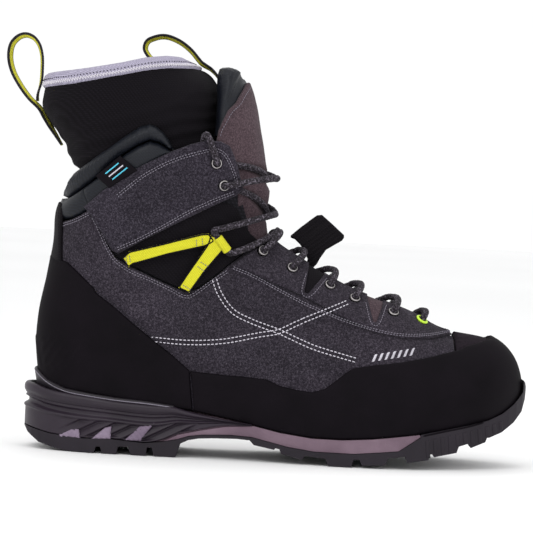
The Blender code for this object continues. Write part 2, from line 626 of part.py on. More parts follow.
outsole = plan_prism("outsole", plan_offset(sole_depth), -1, 60)
outsole_side = OUTSOLE_TOP[:] + [(417, 428.9), (440, 425.3), (465, 421.4), (485, 417.4), (500, 411.5), (512, 403.5),
    (520.2, 395.4), (523.0, 392.2), (523.6, 386), (523.6, 380.5), (525.5, 383), (526.6, 388), (525.2, 399.5), (521, 411), (512, 421), (499, 429.8), (486.5, 434.2),
    (483.8, 434.4), (482, 438.6), (467, 443.6), (464.5, 439.2), (455, 441.7), (452.7, 447.7), (430, 451),
    (428.3, 448), (426, 448.3), (424.5, 453.8), (404, 456), (401.3, 449.6), (384.8, 451.2), (382, 458), (359.4, 458),
    (356.8, 452.4), (351.2, 452.4), g(348.6), g(326.5), (323.8, 451.8), (303.9, 449.3), (300.6, 453.3), (281, 447.4),
    (279, 443), (275.4, 442), (273.8, 443.6), (254, 439.2), (250, 434.6), (238, 433.4), (214, 433), (200, 433.4), (190, 435),
    (182, 438.5), g(177.5), g(156), (154, 442.5), (149.3, 442.3), g(148), g(133), (130.8, 441.9), (120.7, 441.6), g(119), g(105),
    (103, 441.8), (99, 441.8), g(96.5), g(74), (60, 444.6), (41, 439), (29, 430)]
tread = side_prism("outsole_side", outsole_side, -70, 70)
channel = [(300, 448.9), (326, 451.4), (350, 452.2), (384, 451), (402, 449.7), (426, 448.2), (454, 441.7), (466, 439.2),
           (466, 480), (300, 480)]
boolean(tread, as_cutter(side_prism("tread_channel", channel, -2.5, 5.5)))
boolean(tread, as_cutter(side_prism("heel_channel", [(90, 441.2), (168, 441.2), (168, 480), (90, 480)], -4.0, 3.4)))
boolean(outsole, as_cutter(tread), "INTERSECT")
paint(outsole, *TREAD)

MIDSOLE_TOP = [(40, 383), (60, 387), (100, 391.6), (160, 402.6), (185, 406.5), (240, 417.6), (280, 427.6), (310, 432.6),
               (340, 434.1), (370, 433.1), (400, 430.6), (416, 429.2)]
midsole = plan_prism("midsole", plan_offset(3.1), 5, 60)
midsole_side = [(20, 382.5)] + MIDSOLE_TOP + [(p[0], p[1] - 0.5) for p in reversed(OUTSOLE_TOP[1:])][0:] + [(20, 421)]
boolean(midsole, as_cutter(side_prism("midsole_side", midsole_side, -70, 70)), "INTERSECT")
frame_zone = [(10, 370)] + [(36, 370)] + raised(FRAME_TOP[1:], 3) + [(258, 414)] + [(258, 421), (226, 422), (204, 425.4), (180, 430), (157, 440)] + \
    [(146, 441), (113, 437), (83, 437), (10, 434)]
zone = ring_prism("frame_zone_ring", plan_offset(20), plan_offset(1.0), 5, 60)
boolean(zone, as_cutter(side_prism("frame_zone_side", frame_zone, -70, 70)), "INTERSECT")
boolean(midsole, as_cutter(zone))
boolean(midsole, as_cutter(side_prism("shank_pocket", [(92, 360), (285, 360), (285, 435), (250, 427), (160, 409.5), (92, 397.5)],
                                      -13.3, 11.3)))
paint(midsole, *EVA)

frame = ring_prism("heel_frame", plan_offset(lambda r: 4.2 + 6.6 * (1 - smoothstep(0, 30, r))), plan_offset(1.3), 5, 60)
frame_side = [(30, 381.6)] + FRAME_TOP + [(226, 419.8), (204, 423.9), (180, 428.8), (163, 436), (146, 437.4)] + \
    [(113, 433.6), (83, 433.2), (52, 429.4), (27.3, 423.4), (28.6, 417), (32.4, 403), (28.6, 394)]
boolean(frame, as_cutter(side_prism("heel_frame_side", frame_side, -70, 70)), "INTERSECT")
for i, w in enumerate(([(54, 436), (54.5, 428.7), (79, 424.6), (84, 436)], [(92, 440), (91.5, 431), (112, 423), (113.5, 440)],
                       [(124, 442), (126.5, 433), (137, 427.5), (158, 422), (156, 432), (146, 442)])):
    boolean(frame, as_cutter(side_prism("frame_window_%d" % i, w, -70, 70)))
paint(frame, *FRAME)

cup = solidify(loft("heel_cup", LAST, 2.5, Q_LOW), 1.6)
cup_side = [(10, 352), (35, 356.6), (41, 366.5), (53, 377), (70, 384.6), (95, 389.1), (119.5, 393), (150, 396.4), (176, 400.6),
            (178, 404.2), (150, 400.1), (120, 397), (95, 393), (66, 388.9), (47, 384.9), (36.6, 381.5), (10, 380.5)]
boolean(cup, as_cutter(side_prism("heel_cup_side", cup_side, -70, 70)), "INTERSECT")
paint(cup, *FRAME)

plate = plan_prism("shank_plate", [(float(to_mm((a, 400))[0]), b) for a, b in
                   ((94, -12.4), (150, -13), (230, -13), (282, -11.5), (282, 9.5), (230, 11), (150, 11), (94, 10.4))], 5, 60)
boolean(plate, as_cutter(side_prism("shank_side", [(94, 394.2), (160, 405.8), (250, 423), (283, 431), (283, 433.8), (250, 426.2),
                                                   (160, 408.9), (94, 397.1)], -30, 30)), "INTERSECT")
paint(plate, *PLATE)


def feather_strip(low, high, x_start, x_end):
    """Side outline of a sheet lying between two heights (mm) over the feather line."""
    line = [(p[0], p[1]) for p in smooth_line(FEATHER, 12) if x_start <= p[0] <= x_end]
    return [(a, b - high / U) for a, b in line] + [(a, b - low / U) for a, b in reversed(line)]


board = plan_prism("insole_board", plan_offset(lambda r: -7.6 - 2.8 * smoothstep(200, 290, r))[::2], 5, 70)
boolean(board, as_cutter(side_prism("board_side", feather_strip(0.0, 2.2, 20, 510), -60, 60)), "INTERSECT")
paint(board, *BOARD)
bed = plan_prism("footbed", plan_offset(lambda r: -8.4 - 2.8 * smoothstep(190, 290, r))[::2], 5, 70)
boolean(bed, as_cutter(side_prism("footbed_side", feather_strip(2.6, 6.4, 20, 498), -60, 60)), "INTERSECT")
paint(bed, *FLEECE)


# ---------------------------------------------------------------- webbing
def ribbon(name, centreline, thickness, y_low, y_high, step=6.0):
    """A webbing strap seen edge-on in the side drawing."""
    c = smooth_line(centreline, step)
    t = np.gradient(c, axis=0)
    t /= np.linalg.norm(t, axis=1)[:, None]
    n = np.stack([-t[:, 1], t[:, 0]], 1) * thickness / U / 2
    return side_prism(name, [tuple(p) for p in np.vstack([c + n, (c - n)[::-1]])], y_low, y_high)


REAR_LOOP = [(40.2, 107.6), (30, 98), (20, 84), (13, 70), (10.5, 56), (13, 44), (20, 37), (27, 35.3), (34, 38), (39.5, 45),
             (42.3, 56), (42.5, 68), (41.4, 82), (38, 95), (37.8, 101)]
rear_loop = ribbon("pull_loop_rear", REAR_LOOP[:-1], 1.4, -5.5, 5.5)
paint(rear_loop, *YELLOW)
rear_tail = ribbon("pull_loop_rear_tail", [(40.3, 110), (45.5, 118.6), (50.5, 128), (55, 135), (61, 143)], 1.2, -5.5, 5.5)
paint(rear_tail, *YELLOW)
FRONT_LOOP = [(155, 62), (149, 56), (145.5, 49), (148, 42), (155, 38.5), (163, 37), (170, 38), (181, 43), (191, 51), (198.5, 60), (201.5, 63.5)]
front_loop = ribbon("pull_loop_front", FRONT_LOOP, 1.4, -5.5, 5.5)
paint(front_loop, *YELLOW)
front_tail = ribbon("pull_loop_front_tail", [(203.6, 65.2), (209, 68.4), (216.5, 75.5), (220.2, 82)], 1.2, -5.5, 5.5)
paint(front_tail, *YELLOW)

keeper = side_prism("lace_keeper", [(308, 254.5), (301, 244.5), (293.5, 237), (294.5, 233.5), (312, 219.5), (317, 215), (322, 215.6), (344, 235.5), (342, 240.6),
                                    (326, 250), (320, 258.5), (308, 257.2)], -1.5, 1.5)
paint(keeper, *WEBBING)
stem = side_prism("lace_keeper_stem", [(308.8, 259.8), (318.8, 260.8), (313, 268.2), (306.5, 264.5)], -1.5, 1.5)
paint(stem, *WEBBING)


# ---------------------------------------------------------------- lace slings (a folded strap each side)
SLING = [(126.5, 250), (160, 240.5), (205, 230.6), (211, 232), (220, 245.5), (219, 249.5), (191.5, 290.4), (180.6, 285.3),
         (206, 246.5), (200, 243.5), (165, 252), (127, 263.5)]
TUBE_LOW, TUBE_HIGH = (227, 250), (217.5, 236)
for word, side in (("lateral", -1), ("medial", 1)):
    ylo, yhi = (-90, -3) if side < 0 else (3, 90)
    o = solidify(loft("lace_sling_" + word, LAST, 2.7, [q for q in Q_ALL if 86 <= q <= 178]), 1.2)
    boolean(o, as_cutter(side_prism("sling_region_" + word, SLING, ylo, yhi)), "INTERSECT")
    a, b = LAST.on(TUBE_LOW, 3.4, side), LAST.on(TUBE_HIGH, 3.4, side)
    rot = Vector(b - a).to_track_quat("Z", "Y").to_matrix().to_4x4()
    for label, radius, extra in (("fold", 3.5, 0.0), ("fold_hole", 2.4, 6.0)):
        bm = bmesh.new()
        bmesh.ops.create_cone(bm, cap_ends=True, segments=12, radius1=radius * MM, radius2=radius * MM,
                              depth=(np.linalg.norm(b - a) + extra) * MM, matrix=Matrix.Translation(metres((a + b) / 2)) @ rot)
        c = as_cutter(mesh_object("sling_" + label + "_" + word, bm))
        boolean(o, c, "UNION" if label == "fold" else "DIFFERENCE")
    paint(o, *YELLOW)

label = solidify(loft("side_label", LAST, 2.8, [q for q in Q_ALL if 160 <= q <= 226]), 0.8)
boolean(label, as_cutter(side_prism("label_region", [(102, 177), (125.6, 157), (141.6, 171), (114.8, 188.4)], -90, -3)), "INTERSECT")
paint(label, *PAD)


# ---------------------------------------------------------------- eyelets
def turned(name, profile, segments=10):
    """A closed (radius, height) outline turned about Z by a Screw modifier."""
    bm = bmesh.new()
    vs = [bm.verts.new((r * MM, 0, h * MM)) for r, h in profile]
    for v1, v2 in zip(vs, vs[1:] + vs[:1]):
        bm.edges.new((v1, v2))
    o = mesh_object(name, bm)
    m = o.modifiers.new("turn", "SCREW")
    m.axis = "Z"
    m.angle = 2 * math.pi
    m.steps = m.render_steps = segments
    m.screw_offset = 0
    m.use_merge_vertices = True
    m.merge_threshold = 0.00001
    m.use_normal_calculate = True
    return o


LOW_RING = [(2.35, -2.2), (2.85, -2.2), (2.85, 2.2), (3.8, 2.25), (3.6, 2.9), (2.35, 2.9)]
HIGH_RING = [(2.35, 0.1), (2.85, 0.1), (2.85, 2.6), (3.8, 2.65), (3.6, 3.3), (2.35, 3.3)]
FRONT_RING = [(2.35, -2.2), (2.85, -2.2), (2.85, 2.2), (4.1, 2.25), (3.8, 2.9), (2.35, 2.9)]
for (word, i), (p, n, rot) in holes.items():
    o = turned("eyelet_%s_%d" % (word, i + 1), FRONT_RING if i == 0 else LOW_RING if i < 6 else HIGH_RING)
    o.matrix_world = Matrix.Translation(metres(p)) @ rot
    paint(o, *(LIME if i == 0 else METAL))


# ---------------------------------------------------------------- lace
def thin_out(points, tolerance):
    """Drop the points of a path that lie within tolerance of the straight line past them."""
    keep = [0]
    i = 0
    while i < len(points) - 1:
        j = min(i + 12, len(points) - 1)
        while j > i + 1:
            seg = points[j] - points[i]
            t = np.clip(((points[i + 1:j] - points[i]) @ seg) / (seg @ seg), 0, 1)
            off = np.linalg.norm(points[i + 1:j] - points[i] - t[:, None] * seg, axis=1)
            if off.max() < tolerance:
                break
            j -= 1
        keep.append(j)
        i = j
    return points[keep]


def polar(point, side):
    phi, q = LAST.locate(point, side)
    return np.array([float(phi), float(q)])


def strand(start, end, side, h_start, h_mid, h_end, n=25, trim=(0.0, 0.0), ridge=None):
    """Lace across the throat between (phi, q) points; side is the side it starts on.
    ridge is the drawing height where it crosses the front line, if it does not run straight."""
    t = np.linspace(0, 1, n)
    pq = start + (end - start) * t[:, None]
    if ridge is not None:
        mid = np.array([math.pi, float(LAST.locate(ridge)[1])])
        pq = np.where(t[:, None] < 0.5, start + (mid - start) * t[:, None] * 2, mid + (end - mid) * (t[:, None] * 2 - 1))
    y = LAST.skin(pq[:, 0], pq[:, 1])[:, 1]
    s = -side * (y - 1.5) / 13.5
    h = np.interp(s, [-1.15, -0.72, 0, 0.74, 1.15], [h_start, h_start - 0.1, h_mid, h_end + 0.1 * np.sign(h_start - h_end), h_end])
    p = LAST.at(pq[:, 0], pq[:, 1], h)
    arc = np.concatenate([[0], np.cumsum(np.linalg.norm(np.diff(p, axis=0), axis=1))])
    keep = (arc >= trim[0]) & (arc <= arc[-1] - trim[1])
    return p[keep]


BEND = 2.35


def through(path, word, i, after):
    """Carry the path up an eyelet, with a round bend below and above it, and on along the strand after."""
    p, n, _ = holes[word, i]
    low, high = (-2.2, 2.9) if i < 6 else (0.1, 3.3)

    def corner(target, h, up):
        u = target - p
        u = u - n * (u @ n)
        u /= np.linalg.norm(u)
        return [p + n * (h + up * BEND * math.sin(a)) + u * BEND * (1 - math.cos(a)) for a in (math.pi / 6, math.pi / 3, math.pi / 2)]

    below = corner(np.asarray(path[-1]), low, -1)[::-1] if path else []
    above = corner(np.asarray(after[0]), high, 1)
    return list(path) + below + [p + n * h for h in np.linspace(low, high, 3)] + above + list(after)


WORD = {-1: "lateral", 1: "medial"}
UNDER, OVER, UNDER_CUFF, OVER_CUFF = -2.2 - BEND, 2.9 + BEND, 0.1 - BEND - 0.2, 3.3 + BEND


def half_lace(side, bar):
    """From the front pair up to the tail; side is where it comes up out of the first eyelet."""
    s, first = side, side < 0
    path = list(bar)
    for i in range(5):
        mid = 2.7 if first == (i % 2 == 0) else -2.7
        run = strand(polar(eyelet_drawing[i], s), polar(eyelet_drawing[i + 1], -s), s, OVER, mid, UNDER, trim=(4.0, 4.0))
        path = through(path, WORD[s], i, run)
        s = -s
    low_mid, high_mid = (3.1, -1.3) if first else (-1.3, 3.1)
    a, b = LAST.on(TUBE_LOW, 3.4, -s), LAST.on(TUBE_HIGH, 3.4, -s)
    d = (b - a) / np.linalg.norm(b - a)
    run = list(strand(polar(eyelet_drawing[5], s), polar((234, 252), -s), s, OVER + 0.6, low_mid, 3.6, trim=(4.0, 2.0), ridge=(275, 232)))
    path = through(path, WORD[s], 5, run)
    s = -s
    path += [a - d * 1.6, a + d * 1.0, (a + b) / 2, b - d * 1.0, b + d * 1.6]
    path += [LAST.on((213.6, 229.4), 3.8, s)]
    path += list(strand(polar((222, 227.2), s), polar(eyelet_drawing[6], -s), s, 3.8, low_mid, UNDER_CUFF, trim=(0.0, 4.0), ridge=(272, 214)))
    s = -s
    run = list(strand(polar(eyelet_drawing[6], s), polar(eyelet_drawing[7], -s), s, OVER_CUFF, high_mid, UNDER_CUFF, trim=(4.0, 4.0),
                      ridge=(271, 179)))
    path = through(path, WORD[s], 6, run)
    s = -s
    tail = [LAST.on(p, h, s) for p, h in (((212.6, 152), 5.5), ((210.5, 143.5), 5.2), ((208, 136.8), 2.4),
                                          ((206.5, 137.6), -1.0), ((206, 146), -2.6), ((206, 156), -2.8))]
    return through(path, WORD[s], 7, tail), s


def bar_half(side):
    run = strand(polar(eyelet_drawing[0], -side), polar(eyelet_drawing[0], side), -side, UNDER, UNDER, UNDER, trim=(4.0, 4.0))
    return [p for p in run if side * (p[1] - 1.5) > 0.6]


one, s_one = half_lace(-1, bar_half(-1))
two, s_two = half_lace(1, bar_half(1))
path = np.array(list(reversed(two)) + one)
path = thin_out(smooth_line(path, 0.7), 0.28)
curve = bpy.data.curves.new("lace", "CURVE")
curve.dimensions = "3D"
curve.bevel_depth = LACE_R * MM
curve.bevel_resolution = 1
curve.use_fill_caps = True
spline = curve.splines.new("POLY")
spline.points.add(len(path) - 1)
for sp, p in zip(spline.points, path):
    sp.co = (p[0] * MM, (p[1] + YS) * MM, p[2] * MM, 1)
lace = bpy.data.objects.new("lace", curve)
boot.objects.link(lace)
lace = real_mesh(lace)
paint(lace, *LACE)
LACE_LENGTH = float(np.linalg.norm(np.diff(path, axis=0), axis=1).sum())
for k, (end, before) in enumerate(((path[-1], path[-2]), (path[0], path[1]))):
    d = (end - before) / np.linalg.norm(end - before)
    bm = bmesh.new()
    bmesh.ops.create_cone(bm, cap_ends=True, segments=10, radius1=1.75 * MM, radius2=1.5 * MM, depth=14 * MM,
                          matrix=Matrix.Translation(metres(end + d * 7.35)) @ Vector(d).to_track_quat("Z", "Y").to_matrix().to_4x4())
    paint(mesh_object("aglet_" + ("lateral" if end[1] < 0 else "medial"), bm), *AGLET)


# ---------------------------------------------------------------- hinge axes: a moving piece's origin sits on its own axis
def set_origin(obj, drawing_point):
    x, z = to_mm(drawing_point)
    here = metres((x, 0, z))
    obj.data.transform(Matrix.Translation(-here) @ obj.matrix_world)
    obj.matrix_world = Matrix.Translation(here)


AXES = {"pull_loop_rear": (40.2, 107.6), "pull_loop_front": (201.5, 63.5), "tongue_upper": (268.5, 139.5),
        "tongue_pad": (268.5, 139.5), "lace_keeper": (314, 257.6), "footbed": (498, 405.5)}
for name, point in AXES.items():
    set_origin(bpy.data.objects[name], point)

for o in boot.objects:
    for poly in o.data.polygons:
        poly.use_smooth = o.name in ("lace",) or o.name.startswith("eyelet")
bpy.context.view_layer.update()
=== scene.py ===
"""The looks of the laced mountaineering boot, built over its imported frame."""
import bpy
import bmesh
import json
import math
import numpy as np
from mathutils import Vector, Matrix
from mathutils.geometry import delaunay_2d_cdt


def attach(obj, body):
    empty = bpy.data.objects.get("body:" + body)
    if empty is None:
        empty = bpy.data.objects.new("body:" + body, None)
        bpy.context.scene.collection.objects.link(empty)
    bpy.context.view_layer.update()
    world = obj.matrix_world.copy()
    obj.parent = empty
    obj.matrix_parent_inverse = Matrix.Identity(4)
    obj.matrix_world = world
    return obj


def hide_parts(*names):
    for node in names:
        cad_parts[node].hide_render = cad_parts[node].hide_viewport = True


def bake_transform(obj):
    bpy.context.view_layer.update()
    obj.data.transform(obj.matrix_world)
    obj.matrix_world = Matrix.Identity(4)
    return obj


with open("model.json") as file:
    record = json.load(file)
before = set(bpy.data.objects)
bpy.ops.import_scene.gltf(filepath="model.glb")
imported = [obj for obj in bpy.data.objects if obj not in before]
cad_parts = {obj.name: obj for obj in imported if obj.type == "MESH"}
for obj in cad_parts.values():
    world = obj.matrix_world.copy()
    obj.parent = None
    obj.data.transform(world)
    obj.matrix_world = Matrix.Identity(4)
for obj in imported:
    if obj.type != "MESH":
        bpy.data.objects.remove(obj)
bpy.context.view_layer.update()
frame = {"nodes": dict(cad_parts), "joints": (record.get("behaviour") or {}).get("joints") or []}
NODES = frame["nodes"]
MM = 0.001

# ------------------------------------------------------------------ the part's own drawing grid
U = 0.635
PITCH = math.radians(2.7)
X0, Y0 = 268.0, 455.99
XS, YS = 7.00, 0.22
K = 0.325


def to_mm(p):
    p = np.asarray(p, float)
    dx, up = p[..., 0] - X0, Y0 - p[..., 1]
    x = U * (dx * math.cos(PITCH) - up * math.sin(PITCH)) + XS
    z = U * (dx * math.sin(PITCH) + up * math.cos(PITCH))
    return np.stack([x, z], -1)


def ground(px):
    return Y0 + (px - X0) * math.tan(PITCH)


def smooth_line(pts, step=1.0):
    p = np.asarray(pts, float)
    p = np.vstack([2 * p[0] - p[1], p, 2 * p[-1] - p[-2]])
    out = []
    for i in range(1, len(p) - 2):
        a, b, c, d = p[i - 1], p[i], p[i + 1], p[i + 2]
        t0 = 0.0
        t1 = t0 + max(np.linalg.norm(b - a), 1e-6) ** 0.5
        t2 = t1 + max(np.linalg.norm(c - b), 1e-6) ** 0.5
        t3 = t2 + max(np.linalg.norm(d - c), 1e-6) ** 0.5
        n = max(2, int(np.linalg.norm(c - b) / step))
        t = np.linspace(t1, t2, n, endpoint=False)[:, None]
        a1 = (t1 - t) / (t1 - t0) * a + (t - t0) / (t1 - t0) * b
        a2 = (t2 - t) / (t2 - t1) * b + (t - t1) / (t2 - t1) * c
        a3 = (t3 - t) / (t3 - t2) * c + (t - t2) / (t3 - t2) * d
        b1 = (t2 - t) / (t2 - t0) * a1 + (t - t0) / (t2 - t0) * a2
        b2 = (t3 - t) / (t3 - t1) * a2 + (t - t1) / (t3 - t1) * a3
        out.append((t2 - t) / (t2 - t1) * b1 + (t - t1) / (t2 - t1) * b2)
    out.append(p[-2][None])
    return np.vstack(out)


def straight_line(pts, step=1.0):
    p = np.asarray(pts, float)
    out = []
    for a, b in zip(p[:-1], p[1:]):
        n = max(1, int(round(np.linalg.norm(b - a) / step)))
        out.append(a + (b - a) * np.linspace(0, 1, n, endpoint=False)[:, None])
    out.append(p[-1][None])
    return np.vstack(out)


def smoothstep(a, b, x):
    t = np.clip((np.asarray(x, float) - a) / (b - a), 0, 1)
    return t * t * (3 - 2 * t)


def dist_to(poly, x, z):
    x, z = np.asarray(x, float).ravel(), np.asarray(z, float).ravel()
    a, b = poly[:-1], poly[1:]
    d = b - a
    best = np.full(len(x), 1e9)
    for i in range(0, len(x), 3000):
        px, pz = x[i:i + 3000, None], z[i:i + 3000, None]
        t = ((px - a[:, 0]) * d[:, 0] + (pz - a[:, 1]) * d[:, 1]) / (d ** 2).sum(1)
        t = np.clip(t, 0, 1)
        e = (px - a[:, 0] - t * d[:, 0]) ** 2 + (pz - a[:, 1] - t * d[:, 1]) ** 2
        best[i:i + 3000] = np.sqrt(e.min(1))
    return best


class Tube:
    """A tube-like skin between a back and a front side line, cut by planes z = q + k x."""

    def __init__(self, front, back, k, width, centre, d_front, d_back):
        self.f = smooth_line(to_mm(front), 2.0)
        self.b = smooth_line(to_mm(back), 2.0)
        self.k = k
        self.qf = self.f[:, 1] - k * self.f[:, 0]
        self.qb = self.b[:, 1] - k * self.b[:, 0]
        self.width, self.centre, self.d_front, self.d_back = width, centre, d_front, d_back

    def ends(self, q):
        return np.interp(q, self.qb, self.b[:, 0]), np.interp(q, self.qf, self.f[:, 0])

    def skin(self, phi, q):
        phi, q = np.broadcast_arrays(np.asarray(phi, float), np.asarray(q, float))
        shape = phi.shape
        phi, q = phi.ravel(), q.ravel()
        xb, xf = self.ends(q)
        x = xb + (xf - xb) * (1 - np.cos(phi)) / 2
        z = q + self.k * x
        df, db = dist_to(self.f, x, z), dist_to(self.b, x, z)
        side = np.where(np.sin(phi) >= 0, -1.0, 1.0)
        tf = np.clip(df / self.d_front(x, z), 0, 1)
        tb = np.clip(db / self.d_back(x, z), 0, 1)
        w = self.width(x, z, side) * np.sqrt(1 - (1 - tf) ** 2) * np.sqrt(1 - (1 - tb) ** 2)
        return np.stack([x, self.centre(x, z) + side * w, z], -1).reshape(shape + (3,))

    def normal(self, phi, q):
        e, g = 0.012, 0.25
        tu = self.skin(phi + e, q) - self.skin(phi - e, q)
        tv = self.skin(phi, q + g) - self.skin(phi, q - g)
        n = np.cross(tu, tv)
        return n / np.maximum(np.linalg.norm(n, axis=-1, keepdims=True), 1e-12)

    def at(self, phi, q, h=0.0):
        phi, q = np.asarray(phi, float), np.asarray(q, float)
        return self.skin(phi, q) + self.normal(phi, q) * np.asarray(h, float)[..., None]

    def locate(self, point, side=-1):
        x, z = np.moveaxis(to_mm(point), -1, 0)
        q = z - self.k * x
        xb, xf = self.ends(q)
        phi = np.arccos(np.clip(1 - 2 * (x - xb) / (xf - xb), -1, 1))
        return (phi if side < 0 else 2 * math.pi - phi), q

    def on(self, point, h=0.0, side=-1):
        phi, q = self.locate(point, side)
        return self.at(phi, q, h)


HEEL_X = float(to_mm((36, 380))[0])
RUN = np.array([0, 30, 45, 70, 100, 130, 160, 190, 215, 240, 265, 285, 300, 320])
W_LOW = np.array([30, 31.5, 32.5, 33, 33.5, 36, 39.5, 44, 47.5, 48, 46, 43, 40, 36])
W_HIGH = np.array([35, 35, 35, 35.5, 36, 36, 36, 38, 41, 43, 42, 40, 37, 34])
CEN = np.array([0, 0, 0, -1, -2, -3, -3.5, -3, -1.5, 0.5, 3, 5, 7, 8])
FEATHER = [(20, 379), (60, 384.5), (100, 391), (160, 402), (185, 405.5), (240, 417), (280, 427),
           (310, 432), (340, 433.5), (370, 432.5), (400, 430), (440, 425), (465, 421), (485, 417),
           (500, 411), (512, 403), (520, 394), (532, 382)]
FEATHER_MM = smooth_line(to_mm(FEATHER), 2.0)


def last_width(x, z, side):
    run = x - HEEL_X
    low, high = np.interp(run, RUN, W_LOW), np.interp(run, RUN, W_HIGH)
    shaft = np.interp(z, [85, 100, 120, 140, 160, 180, 250], [35, 35.3, 36.8, 39.2, 41.8, 43, 44])
    high = high + (shaft - high) * (1 - smoothstep(110, 190, run))
    w = low + (high - low) * smoothstep(38, 98, z)
    over = z - np.interp(x, FEATHER_MM[:, 0], FEATHER_MM[:, 1])
    w = w * (1 - 0.07 * np.clip((26 - over) / 26, 0, 1.4) ** 2)
    arch = 4.5 * np.exp(-((run - 125) / 38) ** 2) * (1 - smoothstep(35, 75, z))
    return w - np.where(side > 0, arch, 0)


LAST = Tube(
    front=[(430, 560), (446, 470), (478, 445), (497, 432), (508, 420), (515, 407), (518.3, 395),
           (518.8, 383), (516.5, 371), (512, 360), (505, 350.5), (496, 343), (484, 337.5), (470, 334.5),
           (455, 332), (446, 329.5), (436, 325), (424, 317.5), (412, 311), (398, 305), (380, 298.5),
           (362, 291.5), (345, 284), (325, 272), (305, 259), (288, 248), (278, 240.5), (272.5, 232),
           (270.5, 220), (270, 200), (270, 180), (269.5, 160), (268.5, 140), (266.5, 120), (264, 105),
           (260.5, 90), (256.5, 78), (252, 60), (248, 40)],
    back=[(44, 590), (44, 395), (42.5, 380), (40.5, 366), (39.3, 350), (39.3, 335), (40.7, 320),
          (42.8, 306), (46, 292), (49, 280), (51.5, 268), (54, 256), (56.3, 244), (57.5, 232),
          (58, 220), (59.5, 210), (62.5, 202), (65.5, 194), (67.5, 186), (69.5, 176), (72, 165),
          (74, 150), (74, 120), (74, 60), (74, 20)],
    k=K, width=last_width,
    centre=lambda x, z: np.interp(x - HEEL_X, RUN, CEN) * (1 - 0.6 * smoothstep(90, 140, z)),
    d_front=lambda x, z: 45 + 15 * (1 - smoothstep(150, 250, x - HEEL_X)) - 8 * smoothstep(120, 170, z),
    d_back=lambda x, z: 40 + 6 * smoothstep(90, 150, z))

GAITER = Tube(
    front=[(214, 300), (214, 215), (215.5, 190), (217, 165), (219, 140), (220.5, 118), (221, 100), (219, 88),
           (213, 78), (205, 71.5), (196, 67), (190, 61), (187, 52)],
    back=[(80, 300), (83, 205), (84, 190), (83, 178), (79, 167), (72.5, 155), (65, 143), (59, 135), (53, 127),
          (47, 118), (42.5, 110), (41.5, 103), (43, 95), (45, 86), (46.5, 74), (48, 60), (48, 40)],
    k=0.16, width=lambda x, z, side: np.interp(z, [140, 175, 200, 230, 255], [33.2, 34.3, 37.6, 41.5, 42.0]) + 0 * x,
    centre=lambda x, z: 0 * x, d_front=lambda x, z: 44 + 0 * x, d_back=lambda x, z: 44 + 0 * x)


def tongue_depth(q):
    return -(7.5 - 2.6 * smoothstep(150, 172, np.asarray(q, float)))


# ------------------------------------------------------------------ repeatable noise on points
def _hash(i, j, k):
    n = (i * 73856093) ^ (j * 19349663) ^ (k * 83492791)
    n = (n ^ (n >> 13)) * 1274126177
    return ((n ^ (n >> 16)) & 0xFFFF) / 65535.0


def noise3(p, size):
    """Smooth value noise in -1..1 at points p, with features about size across."""
    p = np.asarray(p, float) / size
    f = np.floor(p).astype(np.int64)
    t = p - f
    t = t * t * (3 - 2 * t)
    out = 0.0
    for dx in (0, 1):
        for dy in (0, 1):
            for dz in (0, 1):
                w = ((t[..., 0] if dx else 1 - t[..., 0]) * (t[..., 1] if dy else 1 - t[..., 1])
                     * (t[..., 2] if dz else 1 - t[..., 2]))
                out = out + w * _hash(f[..., 0] + dx, f[..., 1] + dy, f[..., 2] + dz)
    return out * 2 - 1


# ------------------------------------------------------------------ materials
def new_material(name):
    m = bpy.data.materials.new(name)
    m.use_nodes = True
    nt = m.node_tree
    b = nt.nodes["Principled BSDF"]
    tc = nt.nodes.new("ShaderNodeTexCoord")
    return m, nt, b, tc.outputs["Object"]


def add(nt, kind, inputs=None, **props):
    n = nt.nodes.new(kind)
    for k, v in props.items():
        setattr(n, k, v)
    for k, v in (inputs or {}).items():
        if isinstance(v, bpy.types.NodeSocket):
            nt.links.new(v, n.inputs[k])
        else:
            n.inputs[k].default_value = v
    return n


def ramp(nt, fac, stops):
    n = nt.nodes.new("ShaderNodeValToRGB")
    nt.links.new(fac, n.inputs["Fac"])
    e = n.color_ramp.elements
    while len(e) < len(stops):
        e.new(0.5)
    for el, (pos, col) in zip(e, stops):
        el.position = pos
        el.color = (*col, 1) if len(col) == 3 else col
    return n.outputs["Color"]


def lin(r, g, b):
    """sRGB 0..255 to linear."""
    return tuple(((v / 255) / 12.92 if v <= 10.3 else ((v / 255 + 0.055) / 1.055) ** 2.4) for v in (r, g, b))


def bump_of(nt, b, height, strength, distance):
    n = add(nt, "ShaderNodeBump", {"Height": height, "Strength": strength, "Distance": distance})
    nt.links.new(n.outputs["Normal"], b.inputs["Normal"])


